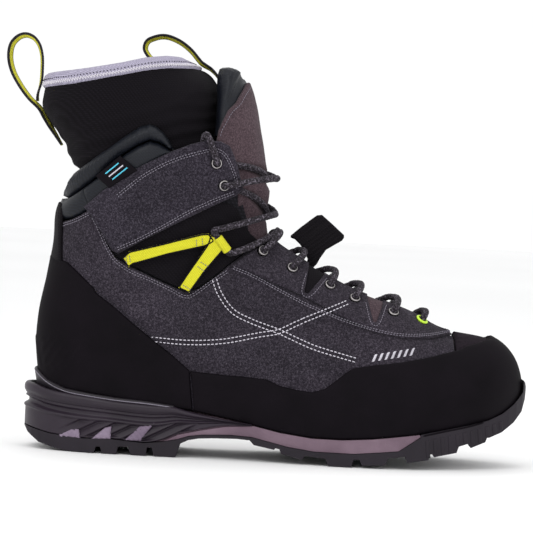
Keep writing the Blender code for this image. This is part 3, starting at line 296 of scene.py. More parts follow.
def suede(name, dark, mid, light, scale=1500, rough=0.92, sheen=0.03, rub=False):
    m, nt, b, co = new_material(name)
    big = add(nt, "ShaderNodeTexNoise", {"Vector": co, "Scale": 28.0, "Detail": 3.0}).outputs["Fac"]
    fine = add(nt, "ShaderNodeTexNoise", {"Vector": co, "Scale": float(scale), "Detail": 3.0, "Roughness": 0.7}).outputs["Fac"]
    mid_n = add(nt, "ShaderNodeTexNoise", {"Vector": co, "Scale": scale * 0.42, "Detail": 2.0}).outputs["Fac"]
    mix = add(nt, "ShaderNodeMath", {0: fine, 1: 1.5}, operation="MULTIPLY").outputs[0]
    mix = add(nt, "ShaderNodeMath", {0: mix, 1: mid_n}, operation="ADD").outputs[0]
    half = add(nt, "ShaderNodeMath", {0: mix, 1: 0.4}, operation="MULTIPLY").outputs[0]
    col = ramp(nt, half, [(0.34, dark), (0.5, mid), (0.68, light)])
    tone = ramp(nt, big, [(0.35, (0.86, 0.86, 0.86)), (0.65, (1.12, 1.12, 1.12))])
    c = add(nt, "ShaderNodeMix", {0: 1.0, 6: col, 7: tone}, data_type="RGBA", blend_type="MULTIPLY").outputs[2]
    if rub:
        # nap brushed paler in broad patches
        patch = add(nt, "ShaderNodeTexNoise", {"Vector": co, "Scale": 11.0, "Detail": 5.0, "Roughness": 0.65}).outputs["Fac"]
        pale = ramp(nt, patch, [(0.48, (0.94, 0.94, 0.95)), (0.60, (1.2, 1.19, 1.2)), (0.74, (1.75, 1.72, 1.72))])
        c = add(nt, "ShaderNodeMix", {0: 1.0, 6: c, 7: pale}, data_type="RGBA", blend_type="MULTIPLY").outputs[2]
    nt.links.new(c, b.inputs["Base Color"])
    b.inputs["Roughness"].default_value = rough
    b.inputs["Sheen Weight"].default_value = sheen
    b.inputs["Sheen Roughness"].default_value = 0.5
    b.inputs["Specular IOR Level"].default_value = 0.1
    bump_of(nt, b, half, 0.6, 0.00035)
    return m


def rubber(name, base, light, rough=0.55, scale=900, spec=0.4, bump=0.25):
    m, nt, b, co = new_material(name)
    fine = add(nt, "ShaderNodeTexNoise", {"Vector": co, "Scale": float(scale), "Detail": 4.0}).outputs["Fac"]
    big = add(nt, "ShaderNodeTexNoise", {"Vector": co, "Scale": 40.0, "Detail": 4.0}).outputs["Fac"]
    nt.links.new(ramp(nt, big, [(0.3, base), (0.75, light)]), b.inputs["Base Color"])
    r = add(nt, "ShaderNodeMapRange", {"Value": big, "To Min": rough - 0.07, "To Max": rough + 0.1}).outputs[0]
    nt.links.new(r, b.inputs["Roughness"])
    b.inputs["Specular IOR Level"].default_value = spec
    bump_of(nt, b, fine, bump, 0.0002)
    return m


def knit(name, base, light, pitch=0.0011, rough=0.95, sheen=0.03, strength=0.6, spec=0.1):
    """A knitted or woven face: two crossed waves over fine fibre noise."""
    m, nt, b, co = new_material(name)
    wa = add(nt, "ShaderNodeTexWave", {"Vector": co, "Scale": 0.314 / pitch, "Distortion": 0.6, "Detail": 1.0},
             bands_direction="Z").outputs["Fac"]
    wb = add(nt, "ShaderNodeTexWave", {"Vector": co, "Scale": 0.314 / pitch, "Distortion": 0.6, "Detail": 1.0},
             bands_direction="DIAGONAL").outputs["Fac"]
    mul = add(nt, "ShaderNodeMath", {0: wa, 1: wb}, operation="MULTIPLY").outputs[0]
    fib = add(nt, "ShaderNodeTexNoise", {"Vector": co, "Scale": 2500.0, "Detail": 2.0}).outputs["Fac"]
    tot = add(nt, "ShaderNodeMath", {0: mul, 1: fib}, operation="ADD").outputs[0]
    half = add(nt, "ShaderNodeMath", {0: tot, 1: 0.5}, operation="MULTIPLY").outputs[0]
    nt.links.new(ramp(nt, half, [(0.2, base), (0.75, light)]), b.inputs["Base Color"])
    b.inputs["Roughness"].default_value = rough
    b.inputs["Sheen Weight"].default_value = sheen
    b.inputs["Specular IOR Level"].default_value = spec
    bump_of(nt, b, half, strength, 0.0003)
    return m


def metal(name, base, rough=0.32, metallic=1.0):
    m, nt, b, co = new_material(name)
    n = add(nt, "ShaderNodeTexNoise", {"Vector": co, "Scale": 1400.0, "Detail": 3.0}).outputs["Fac"]
    nt.links.new(ramp(nt, n, [(0.3, tuple(v * 0.75 for v in base)), (0.7, tuple(min(1, v * 1.15) for v in base))]),
                 b.inputs["Base Color"])
    b.inputs["Metallic"].default_value = metallic
    r = add(nt, "ShaderNodeMapRange", {"Value": n, "To Min": rough - 0.08, "To Max": rough + 0.12}).outputs[0]
    nt.links.new(r, b.inputs["Roughness"])
    bump_of(nt, b, n, 0.1, 0.0001)
    return m


M = {
    "suede": suede("charcoal_suede", lin(19, 16, 21), lin(40, 36, 43), lin(84, 78, 87), scale=2100, rub=True),
    "cuff": suede("cuff_suede", lin(18, 16, 21), lin(39, 35, 43), lin(84, 79, 89), scale=2100),
    "tongue": suede("taupe_suede", lin(44, 35, 39), lin(68, 55, 60), lin(98, 82, 88), scale=2100, sheen=0.05),
    "vamp": suede("vamp_suede", lin(17, 13, 17), lin(27, 21, 27), lin(44, 36, 44), scale=2200, sheen=0.0),
    "rand": rubber("black_rubber", lin(12, 9, 13), lin(19, 15, 20), 0.7, 700, 0.06, 0.35),
    "tread": rubber("tread_rubber", lin(30, 26, 32), lin(40, 35, 42), 0.6, 800, 0.2, 0.3),
    "tpu": rubber("heel_tpu", lin(30, 22, 32), lin(42, 33, 44), 0.4, 1100, 0.3, 0.2),
    "cup": rubber("cup_tpu", lin(26, 22, 28), lin(36, 31, 38), 0.45, 1100, 0.3, 0.2),
    "eva": rubber("grey_eva", lin(98, 81, 92), lin(126, 107, 119), 0.85, 1600, 0.1, 0.6),
    "pad": knit("collar_fabric", lin(10, 12, 18), lin(23, 27, 37), 0.0009, 0.45, 0.0, 0.3, 0.24),
    "stretch": knit("black_stretch", lin(13, 11, 14), lin(24, 21, 26), 0.0012, 0.95, 0.02, 0.5, 0.08),
    "binding": knit("grey_binding", lin(136, 131, 149), lin(188, 183, 203), 0.0009, 0.95, 0.06, 0.6),
    "lining": knit("lining_mesh", lin(22, 21, 25), lin(42, 40, 46), 0.0022, 0.95, 0.04, 0.8),
    "webbing": knit("black_webbing", lin(8, 6, 9), lin(24, 20, 25), 0.0010, 0.7, 0.0, 0.6, 0.1),
    "metal": metal("dark_nickel", (0.33, 0.31, 0.31)),
    "board": rubber("board_fibre", (0.34, 0.29, 0.2), (0.45, 0.39, 0.28), 0.8, 500, 0.2, 0.4),
    "aglet": rubber("aglet_plastic", (0.008, 0.008, 0.01), (0.015, 0.015, 0.017), 0.25, 400, 0.5, 0.05),
    "thread": knit("pale_thread", lin(178, 174, 184), lin(236, 232, 240), 0.0005, 0.8, 0.1, 0.4),
    "thread_grey": knit("grey_thread", lin(100, 95, 106), lin(150, 145, 156), 0.0005, 0.8, 0.08, 0.4),
    "thread_dark": knit("dark_thread", lin(24, 21, 26), lin(44, 40, 47), 0.0005, 0.8, 0.03, 0.4),
}
M["lime"] = metal("lime_metal", lin(190, 228, 50), 0.35, 0.0)


def mesh_from(name, verts_mm, faces, material, smooth=True, body="boot"):
    v = np.asarray(verts_mm, float).copy()
    v[:, 1] += YS
    mesh = bpy.data.meshes.new(name)
    mesh.from_pydata((v * MM).tolist(), [], [tuple(int(i) for i in f) for f in faces])
    mesh.validate()
    if smooth:
        mesh.shade_smooth()
    obj = bpy.data.objects.new(name, mesh)
    bpy.context.scene.collection.objects.link(obj)
    obj.data.materials.append(M[material] if isinstance(material, str) else material)
    if body:
        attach(obj, body)
    return obj


def fix_normals(obj):
    bm = bmesh.new()
    bm.from_mesh(obj.data)
    bmesh.ops.recalc_face_normals(bm, faces=bm.faces)
    bm.to_mesh(obj.data)
    bm.free()
    return obj


def loft_grid(name, pts, material, closed_u=True, closed_v=False, caps=False, body="boot", smooth=True):
    """pts is (rows, columns, 3) in mm; columns run round when closed_u."""
    r, c = pts.shape[:2]
    faces = []
    for i in range(r if closed_v else r - 1):
        for j in range(c if closed_u else c - 1):
            a, b2 = i * c + j, i * c + (j + 1) % c
            i2 = (i + 1) % r
            faces.append((a, b2, i2 * c + (j + 1) % c, i2 * c + j))
    verts = pts.reshape(-1, 3)
    if caps:
        n = len(verts)
        verts = np.vstack([verts, pts[0].mean(0), pts[-1].mean(0)])
        for j in range(c):
            k = (j + 1) % c
            faces.append((n, k, j))
            faces.append((n + 1, (r - 1) * c + j, (r - 1) * c + k))
    return fix_normals(mesh_from(name, verts, faces, material, smooth, body))


# ------------------------------------------------------------------ panels: patches of a skin with rounded raised edges
AS = 68.0     # mm that one radian of phi is worth in the flat domain


def throat_limit():
    """phi of the throat's edge on each side, for a range of q."""
    qs = np.arange(-10.0, 240.0, 2.0)
    out = []
    for target, lo, hi in ((-10.5, math.pi / 2, math.pi), (13.5, math.pi, 1.5 * math.pi)):
        a, b = np.full(len(qs), lo), np.full(len(qs), hi)
        for _ in range(30):
            m = (a + b) / 2
            y = LAST.skin(m, qs)[:, 1]
            a, b = np.where(y < target, m, a), np.where(y < target, b, m)
        out.append((a + b) / 2)
    return qs, out[0], out[1]


TQ, TPHI_L, TPHI_M = throat_limit()


def trace(points, side=-1, closed=True, step=1.4, curved=False, throat=False, tube=LAST):
    """A drawing outline as (a, b) domain points on one side."""
    pts = list(points) + ([points[0]] if closed else [])
    line = smooth_line(pts, step) if curved else straight_line(pts, step)
    phi, q = tube.locate(line, -1)
    if side > 0:
        phi = 2 * math.pi - phi
    if throat:
        front = np.interp(q, TQ, TPHI_L if side < 0 else TPHI_M)
        phi = np.minimum(phi, front) if side < 0 else np.maximum(phi, front)
    ab = np.stack([phi * AS, q], 1)
    keep = [0]
    for i in range(1, len(ab)):
        if np.linalg.norm(ab[i] - ab[keep[-1]]) > 0.45:
            keep.append(i)
    ab = ab[keep]
    if closed and np.linalg.norm(ab[0] - ab[-1]) < 0.45:
        ab = ab[:-1]
    return ab


def wrapped(points, where, step=1.4, curved=False, tube=LAST):
    """A drawing outline that runs off the front (or back) edge, carried round to the other side."""
    ab = trace(points, -1, True, step, curved, tube=tube)
    edge = math.pi * AS if where == "front" else 0.0
    free = np.abs(ab[:, 0] - edge) > 0.8
    n = len(ab)
    start = next(i for i in range(n) if free[i] and not free[i - 1])
    chain = []
    i = start
    while free[i % n] and len(chain) < n:
        chain.append(ab[i % n])
        i += 1
    chain = np.array(chain)
    first, last = ab[(start - 1) % n].copy(), ab[i % n].copy()
    first[0] = last[0] = edge
    chain = np.vstack([first, chain, last])
    mirror = chain[::-1][1:-1].copy()
    mirror[:, 0] = 2 * edge - mirror[:, 0]
    loop = np.vstack([chain, mirror])
    if where == "back":
        pass
    return loop


def inside(loop, pts):
    x, y = pts[:, 0], pts[:, 1]
    res = np.zeros(len(pts), bool)
    a, b = loop, np.roll(loop, -1, 0)
    for (x1, y1), (x2, y2) in zip(a, b):
        if y1 == y2:
            continue
        cond = (y1 > y) != (y2 > y)
        res ^= cond & (x < (x2 - x1) * (y - y1) / (y2 - y1) + x1)
    return res


def nearest(points, targets):
    best = np.full(len(points), 1e9)
    which = np.zeros(len(points), int)
    for i in range(0, len(points), 1500):
        d = ((points[i:i + 1500, None, :] - targets[None]) ** 2).sum(2)
        which[i:i + 1500] = d.argmin(1)
        best[i:i + 1500] = np.sqrt(d.min(1))
    return best, which


def step_in(tube, ab, tangent_from, tangent_to, dist, inward_sign):
    """Domain points moved inward from a boundary by dist mm, measured on the skin."""
    phi, q = ab[:, 0] / AS, ab[:, 1]
    t = tube.skin(tangent_to[:, 0] / AS, tangent_to[:, 1]) - tube.skin(tangent_from[:, 0] / AS, tangent_from[:, 1])
    t /= np.maximum(np.linalg.norm(t, axis=1, keepdims=True), 1e-9)
    n = tube.normal(phi, q)
    d = np.cross(n, t) * inward_sign * dist
    e = 0.3
    ja = (tube.skin(phi + e / AS, q) - tube.skin(phi - e / AS, q)) / (2 * e)
    jb = (tube.skin(phi, q + e) - tube.skin(phi, q - e)) / (2 * e)
    aa, bb, cc = (ja * ja).sum(1), (ja * jb).sum(1), (jb * jb).sum(1)
    da, db = (d * ja).sum(1), (d * jb).sum(1)
    det = np.maximum(aa * cc - bb * bb, 1e-6)
    return ab + np.stack([(cc * da - bb * db) / det, (aa * db - bb * da) / det], 1)


def offset_line(tube, ab, dist):
    """An open domain line moved sideways by dist mm on the skin."""
    return step_in(tube, ab, np.vstack([ab[:1], ab[:-1]]), np.vstack([ab[1:], ab[-1:]]), abs(dist), math.copysign(1, dist))


def panel(name, loop, low, high, material, tube=LAST, grid=2.0, edge=1.0, holes=(), creases=(), relief=None,
          body="boot", under=True, depth=0.3, height=None):
    """A closed patch of the skin: rounded outer edge, flat underside, sewn creases.
    loop and holes are domain polygons; creases are open domain lines; relief(p, ab, d) adds mm outward."""
    area = 0.5 * np.sum(loop[:, 0] * np.roll(loop[:, 1], -1) - np.roll(loop[:, 0], -1) * loop[:, 1])
    if area < 0:
        loop = loop[::-1]
    loops = [loop]
    for hole in holes:
        ar = 0.5 * np.sum(hole[:, 0] * np.roll(hole[:, 1], -1) - np.roll(hole[:, 0], -1) * hole[:, 1])
        loops.append(hole[::-1] if ar > 0 else hole)
    border = np.vstack(loops)
    border3 = tube.skin(border[:, 0] / AS, border[:, 1])
    n_border = len(border)
    pts = [border]
    edge_list = []
    base = 0
    rings = (0.18 * edge, 0.5 * edge, edge)
    for lp in loops:
        n = len(lp)
        edge_list += [(base + i, base + (i + 1) % n) for i in range(n)]
        base += n
        for r in rings:
            inner = step_in(tube, lp, np.roll(lp, 1, 0), np.roll(lp, -1, 0), r, 1.0)
            d, _ = nearest(tube.skin(inner[:, 0] / AS, inner[:, 1]), border3)
            ok = inside(loops[0], inner) & (d > 0.75 * r)
            for h in loops[1:]:
                ok &= ~inside(h, inner)
            pts.append(inner[ok])
    for line in creases:
        for off in (0.0, 0.75, -0.75):
            l2 = offset_line(tube, line, off) if off else line
            d, _ = nearest(tube.skin(l2[:, 0] / AS, l2[:, 1]), border3)
            ok = inside(loops[0], l2) & (d > 0.8)
            pts.append(l2[ok])
    busy = np.vstack(pts)
    lo, hi = loop.min(0), loop.max(0)
    ga = np.arange(lo[0] + 0.3 * grid, hi[0], grid)
    gb = np.arange(lo[1] + 0.3 * grid, hi[1], grid * 0.87)
    A, B = np.meshgrid(ga, gb)
    A = A + (np.arange(len(gb)) % 2)[:, None] * grid / 2
    g = np.stack([A.ravel(), B.ravel()], 1)
    g = g[inside(loops[0], g)]
    for h in loops[1:]:
        g = g[~inside(h, g)]
    d, _ = nearest(g, busy)
    g = g[d > 0.62 * grid]
    allp = np.vstack(pts + [g])
    res = delaunay_2d_cdt([Vector(p) for p in allp], edge_list, [], 1, 1e-5)
    v2 = np.array([v[:] for v in res[0]], float)
    tris = np.array([f for f in res[2] if len(f) == 3], int)
    if len(loops) > 1:
        c = v2[tris].mean(1)
        bad = np.zeros(len(tris), bool)
        for h in loops[1:]:
            bad |= inside(h, c)
        tris = tris[~bad]
    used = np.unique(tris)
    remap = -np.ones(len(v2), int)
    remap[used] = np.arange(len(used))
    v2, tris = v2[used], remap[tris]
    p3 = tube.skin(v2[:, 0] / AS, v2[:, 1])
    nrm = tube.normal(v2[:, 0] / AS, v2[:, 1])
    d, _ = nearest(p3, border3)
    on_border = np.zeros(len(v2), bool)
    count = {}
    for f in tris:
        for x, y in ((f[0], f[1]), (f[1], f[2]), (f[2], f[0])):
            k = (min(x, y), max(x, y))
            count[k] = count.get(k, 0) + 1
    for (x, y), c in count.items():
        if c == 1:
            on_border[x] = on_border[y] = True
    d[on_border] = 0
    t = np.clip(d / edge, 0, 1)
    prof = np.sqrt(np.maximum(1 - (1 - t) ** 2, 0))
    hi_h = high if height is None else height(p3, v2)
    lo_h = low(p3, v2) if callable(low) else np.full(len(v2), float(low))
    h = lo_h + (hi_h - lo_h) * prof
    for line in creases:
        dd, _ = nearest(v2, line)
        h = h - depth * np.clip(1 - dd / 0.7, 0, 1) * t
    if relief is not None:
        h = h + relief(p3, v2, d) * t
    top = p3 + nrm * h[:, None]
    a, b, c = top[tris[:, 0]], top[tris[:, 1]], top[tris[:, 2]]
    flip = ((np.cross(b - a, c - a) * nrm[tris[:, 0]]).sum(1) < 0).sum() > len(tris) / 2
    if flip:
        tris = tris[:, ::-1]
    verts, faces = [top], [tris]
    if under:
        inner_ids = np.where(~on_border)[0]
        back = -np.ones(len(v2), int)
        back[on_border] = np.where(on_border)[0]
        back[inner_ids] = len(v2) + np.arange(len(inner_ids))
        verts.append(p3[inner_ids] + nrm[inner_ids] * lo_h[inner_ids, None])
        low_tris = back[tris][:, ::-1]
        own = ~(on_border[tris].all(1))
        faces.append(low_tris[own])
    return mesh_from(name, np.vstack(verts), np.vstack(faces), material, True, body)


def circle_hole(tube, point, side, radius, n=20, off=0.0):
    phi, q = tube.locate(point, side)
    phi, q = float(phi), float(q)
    c = tube.at(phi, q, 0.0)
    e = 0.3
    ja = (tube.skin(phi + e / AS, q) - tube.skin(phi - e / AS, q)) / (2 * e)
    jb = (tube.skin(phi, q + e) - tube.skin(phi, q - e)) / (2 * e)
    ja, jb = ja.ravel(), jb.ravel()
    G = np.array([[ja @ ja, ja @ jb], [ja @ jb, jb @ jb]])
    L = np.linalg.inv(np.linalg.cholesky(G).T)
    out = []
    for k in range(n):
        w = np.array([math.cos(2 * math.pi * k / n), math.sin(2 * math.pi * k / n)]) * radius
        out.append(np.array([phi * AS, q]) + L @ w)
    return np.array(out)


# ------------------------------------------------------------------ stitches
def capsule(n=6):
    """A short rounded thread lying along +X, length 1 and radius 1, sunk at both ends."""
    rings = [(-0.5, 0.15, -0.9), (-0.42, 0.75, -0.3), (-0.2, 1.0, 0.1), (0.2, 1.0, 0.1), (0.42, 0.75, -0.3), (0.5, 0.15, -0.9)]
    v, f = [], []
    for x, r, lift in rings:
        for k in range(n):
            a = 2 * math.pi * k / n
            v.append((x, r * math.cos(a), r * math.sin(a) + lift))
    for i in range(len(rings) - 1):
        for k in range(n):
            j = (k + 1) % n
            f.append((i * n + k, i * n + j, (i + 1) * n + j, (i + 1) * n + k))
    f.append(tuple(range(n))[::-1])
    f.append(tuple((len(rings) - 1) * n + k for k in range(n)))
    return np.array(v, float), f


CAP_V, CAP_F = capsule()


def stitch_rows(name, rows, material, pitch=2.5, length=1.75, radius=0.34, body="boot"):
    """rows: list of (points (n,3) mm, normals (n,3)). One object holding every thread."""
    V, F = [], []
    base = 0
    for pts, nrm in rows:
        seg = np.linalg.norm(np.diff(pts, axis=0), axis=1)
        arc = np.concatenate([[0], np.cumsum(seg)])
        if arc[-1] < pitch:
            continue
        for s in np.arange(pitch / 2, arc[-1] - length / 3, pitch):
            def at(x):
                return np.array([np.interp(x, arc, pts[:, k]) for k in range(3)])
            a, b = at(max(s - length / 2, 0)), at(min(s + length / 2, arc[-1]))
            n = np.array([np.interp(s, arc, nrm[:, k]) for k in range(3)])
            t = b - a
            ln = np.linalg.norm(t)
            if ln < 1e-6:
                continue
            t /= ln
            n = n - t * (n @ t)
            n /= np.linalg.norm(n)
            w = np.cross(n, t)
            c = (a + b) / 2
            v = CAP_V * np.array([length, radius, radius])
            V.append(c + v[:, :1] * t + v[:, 1:2] * w + v[:, 2:3] * n)
            F += [tuple(i + base for i in f) for f in CAP_F]
            base += len(CAP_V)
    return mesh_from(name, np.vstack(V), F, material, True, body)


def on_skin(line, h, tube=LAST):
    phi, q = line[:, 0] / AS, line[:, 1]
    return tube.at(phi, q, np.full(len(q), float(h))), tube.normal(phi, q)


# ------------------------------------------------------------------ side outlines (drawing units)
RAND_TOP = [(40, 240), (54, 249), (70, 256), (88, 270), (104, 289), (125, 308), (146, 327), (160, 340),
            (176, 356), (190, 367), (215, 371), (240, 371.5), (262, 372.5), (300, 374), (322, 372),
            (336, 363), (350, 354), (375, 352), (400, 349), (425, 345.5), (446, 341.5), (458, 346),
            (474, 345.5), (486, 342.5), (491, 337), (484, 331), (470, 326), (460, 322)]
QUARTER_TOP = [(40, 203), (64, 205.5), (88, 208.5), (96, 217), (104, 230), (112, 246), (119, 257),
               (135, 266), (155, 276), (172, 284), (187, 290), (200, 287), (214, 277.5), (230, 264),
               (246, 252), (260, 243), (274, 238), (290, 232)]
CUFF = [(88, 207), (104, 193.5), (120, 181), (136, 171), (152, 163), (176, 152), (194, 145.5), (208, 142),
        (222, 143), (230, 147), (234, 156), (238, 168), (240.5, 180), (243, 190), (236, 196), (210, 208),
        (180, 222.5), (150, 237.5), (122, 252.5), (116, 250), (110, 240), (102, 226), (95, 215)]
BACK_STAY = [(40, 204.5), (64, 206.5), (88, 209.5), (86, 222), (85, 236), (87, 252), (89, 266), (70, 252),
             (40, 236)]
EYESTAY = [(231, 265), (246, 253.5), (262, 244), (276, 239), (284, 234), (300, 225), (308.5, 238), (308, 268), (303.5, 291.5),
           (307, 292.5), (323, 275), (328, 245), (340, 250), (364, 264), (366.5, 300), (371.5, 320.5), (374, 321), (381.5, 304),
           (386, 274), (400, 280), (440, 310), (452, 328), (452, 334), (430, 337.5), (400, 336.5), (370, 330), (335, 313),
           (300, 294), (268, 280), (244, 269)]
COLLAR = [(50, 203.7), (62, 199), (66, 186), (71, 175), (86, 162), (104, 150), (122, 138), (138, 129),
          (150, 125.5), (161, 129), (169, 138), (175, 151), (160, 158.5), (140, 168), (120, 179.5),
          (102, 193.5), (88, 205.8), (70, 204)]
FLEX = [(114, 243), (138, 232), (180, 212), (212, 198), (222, 202), (234, 204.5), (240, 209), (243, 219), (252, 233), (262, 241.5),
        (248, 249.5), (232, 261), (214, 276), (200, 285), (188, 288), (172, 282), (155, 274), (136, 264),
        (121, 255.5)]
EYELETS = [(419, 321), (391, 313), (353, 299), (328, 286), (291, 268.5), (261, 251.4), (224, 186), (217, 164.5)]
REAR_LOOP = [(40.2, 107.6), (30, 98), (20, 84), (13, 70), (10.5, 56), (13, 44), (20, 37), (27, 35.3), (34, 38), (39.5, 45),
             (42.3, 56), (42.5, 68), (41.4, 82), (38, 95), (37.8, 101)]
FRONT_LOOP = [(155, 62), (149, 56), (145.5, 49), (148, 42), (155, 38.5), (163, 37), (170, 38), (181, 43), (191, 51), (198.5, 60), (201.5, 63.5)]
SLING = [(126.5, 250), (160, 240.5), (205, 230.6), (211, 232), (220, 245.5), (219, 249.5), (191.5, 290.4), (180.6, 285.3),
         (206, 246.5), (200, 243.5), (165, 252), (127, 263.5)]
TUBE_LOW, TUBE_HIGH = (227, 250), (217.5, 236)


def footprint(over=1.0, n=72):
    """The last's outline at the feather line, in plan (x, y), starting at the heel, lateral side first."""
    phi = np.linspace(0, 2 * math.pi, n + 1)[:-1]
    q = np.full(n, 20.0)
    for _ in range(60):
        p = LAST.skin(phi, q)
        z = np.interp(p[:, 0], FEATHER_MM[:, 0], FEATHER_MM[:, 1]) + over
        q = 0.5 * q + 0.5 * (z - LAST.k * p[:, 0])
    return LAST.skin(phi, q)[:, :2]


FOOT = footprint()


def plan_offset(distance):
    """The footprint moved outward by a distance that may depend on the run from the heel."""
    a, b = np.roll(FOOT, 1, 0), np.roll(FOOT, -1, 0)
    t = b - a
    t /= np.linalg.norm(t, axis=1)[:, None]
    n = np.stack([t[:, 1], -t[:, 0]], 1)
    if ((FOOT + n - FOOT.mean(0)) ** 2).sum() < ((FOOT - FOOT.mean(0)) ** 2).sum():
        n = -n
    d = np.array([distance(x - HEEL_X) if callable(distance) else distance for x in FOOT[:, 0]])
    return FOOT + n * d[:, None]



def g(px):
    return (px, float(ground(px)))


FRAME_TOP = [(36.6, 382.2), (47, 385.6), (66, 389.4), (95, 393.5), (120, 397.5), (150, 400.6), (175, 404.2), (184, 408),
             (208, 413), (230, 416), (254, 420.3)]
OUTSOLE_TOP = [(24, 423), (52, 430), (83, 434), (113, 434.5), (146, 438.3), (165, 437), (180, 434.6), (190, 431.6),
               (204, 430.2), (230, 430.1), (252, 432), (287, 441.2), (313, 445.6), (352, 447.4), (395, 445), (417, 431.5)]


def sole_depth(run):
    return 4.6 + 6.4 * (1 - smoothstep(0, 30, run)) - 0.6 * smoothstep(150, 220, run) + 1.8 * smoothstep(280, 312, run)


outsole_side = OUTSOLE_TOP[:] + [(417, 428.9), (440, 425.3), (465, 421.4), (485, 417.4), (500, 411.5), (512, 403.5),
    (520.2, 395.4), (523.0, 392.2), (523.6, 386), (523.6, 380.5), (525.5, 383), (526.6, 388), (525.2, 399.5), (521, 411), (512, 421), (499, 429.8), (486.5, 434.2),
    (483.8, 434.4), (482, 438.6), (467, 443.6), (464.5, 439.2), (455, 441.7), (452.7, 447.7), (430, 451),
    (428.3, 448), (426, 448.3), (424.5, 453.8), (404, 456), (401.3, 449.6), (384.8, 451.2), (382, 458), (359.4, 458),
    (356.8, 452.4), (351.2, 452.4), g(348.6), g(326.5), (323.8, 451.8), (303.9, 449.3), (300.6, 453.3), (281, 447.4),
    (279, 443), (275.4, 442), (273.8, 443.6), (254, 439.2), (250, 434.6), (238, 433.4), (214, 433), (200, 433.4), (190, 435),
    (182, 438.5), g(177.5), g(156), (154, 442.5), (149.3, 442.3), g(148), g(133), (130.8, 441.9), (120.7, 441.6), g(119), g(105),
    (103, 441.8), (99, 441.8), g(96.5), g(74), (60, 444.6), (41, 439), (29, 430)]
MIDSOLE_TOP = [(40, 383), (60, 387), (100, 391.6), (160, 402.6), (185, 406.5), (240, 417.6), (280, 427.6), (310, 432.6),
               (340, 434.1), (370, 433.1), (400, 430.6), (416, 429.2)]


# ------------------------------------------------------------------ eyelets and the lace's route
holes = {}
for side, word in ((-1, "lateral"), (1, "medial")):
    for i, d in enumerate(EYELETS):
        p = LAST.on(d, 0.0, side)
        n = LAST.on(d, 1.0, side) - p
        if i == 5:
            p = p + n * 0.8
        holes[word, i] = (p, n)


def polar(point, side):
    phi, q = LAST.locate(point, side)
    return np.array([float(phi), float(q)])


def strand(start, end, side, h_start, h_mid, h_end, n=25, trim=(0.0, 0.0), ridge=None):
    """Lace across the throat between (phi, q) points; side is the side it starts on.
    ridge is the drawing height where it crosses the front line, if it does not run straight."""
    t = np.linspace(0, 1, n)
    pq = start + (end - start) * t[:, None]
    if ridge is not None:
        mid = np.array([math.pi, float(LAST.locate(ridge)[1])])
        pq = np.where(t[:, None] < 0.5, start + (mid - start) * t[:, None] * 2, mid + (end - mid) * (t[:, None] * 2 - 1))
    y = LAST.skin(pq[:, 0], pq[:, 1])[:, 1]
    s = -side * (y - 1.5) / 13.5
    h = np.interp(s, [-1.15, -0.72, 0, 0.74, 1.15], [h_start, h_start - 0.1, h_mid, h_end + 0.1 * np.sign(h_start - h_end), h_end])
    p = LAST.at(pq[:, 0], pq[:, 1], h)
    arc = np.concatenate([[0], np.cumsum(np.linalg.norm(np.diff(p, axis=0), axis=1))])
    keep = (arc >= trim[0]) & (arc <= arc[-1] - trim[1])
    return p[keep]


BEND = 2.35


def through(path, word, i, after):
    """Carry the path up an eyelet, with a round bend below and above it, and on along the strand after."""
    p, n = holes[word, i]
    low, high = (-2.2, 2.9) if i < 6 else (0.1, 3.3)

    def corner(target, h, up):
        u = target - p
        u = u - n * (u @ n)
        u /= np.linalg.norm(u)
        return [p + n * (h + up * BEND * math.sin(a)) + u * BEND * (1 - math.cos(a)) for a in (math.pi / 6, math.pi / 3, math.pi / 2)]

    below = corner(np.asarray(path[-1]), low, -1)[::-1] if path else []
    above = corner(np.asarray(after[0]), high, 1)
    return list(path) + below + [p + n * h for h in np.linspace(low, high, 3)] + above + list(after)


WORD = {-1: "lateral", 1: "medial"}
UNDER, OVER, UNDER_CUFF, OVER_CUFF = -2.2 - BEND, 2.9 + BEND, 0.1 - BEND - 0.2, 3.3 + BEND


def half_lace(side, bar):
    """From the front pair up to the tail; side is where it comes up out of the first eyelet."""
    s, first = side, side < 0
    path = list(bar)
    for i in range(5):
        mid = 2.7 if first == (i % 2 == 0) else -2.7
        run = strand(polar(EYELETS[i], s), polar(EYELETS[i + 1], -s), s, OVER, mid, UNDER, trim=(4.0, 4.0))
        path = through(path, WORD[s], i, run)
        s = -s
    low_mid, high_mid = (3.1, -1.3) if first else (-1.3, 3.1)
    a, b = LAST.on(TUBE_LOW, 3.4, -s), LAST.on(TUBE_HIGH, 3.4, -s)
    d = (b - a) / np.linalg.norm(b - a)
    run = list(strand(polar(EYELETS[5], s), polar((234, 252), -s), s, OVER + 0.6, low_mid, 3.6, trim=(4.0, 2.0), ridge=(275, 232)))
    path = through(path, WORD[s], 5, run)
    s = -s
    path += [a - d * 1.6, a + d * 1.0, (a + b) / 2, b - d * 1.0, b + d * 1.6]
    path += [LAST.on((213.6, 229.4), 3.8, s)]
    path += list(strand(polar((222, 227.2), s), polar(EYELETS[6], -s), s, 3.8, low_mid, UNDER_CUFF, trim=(0.0, 4.0), ridge=(272, 214)))
    s = -s
    run = list(strand(polar(EYELETS[6], s), polar(EYELETS[7], -s), s, OVER_CUFF, high_mid, UNDER_CUFF, trim=(4.0, 4.0),
                      ridge=(271, 179)))
    path = through(path, WORD[s], 6, run)
    s = -s
    tail = [LAST.on(p, h, s) for p, h in (((212.6, 152), 5.5), ((210.5, 143.5), 5.2), ((208, 136.8), 2.4),
                                          ((206.5, 137.6), -1.0), ((206, 146), -2.6), ((206, 156), -2.8))]
    return through(path, WORD[s], 7, tail), s


def bar_half(side):
    run = strand(polar(EYELETS[0], -side), polar(EYELETS[0], side), -side, UNDER, UNDER, UNDER, trim=(4.0, 4.0))
    return [p for p in run if side * (p[1] - 1.5) > 0.6]


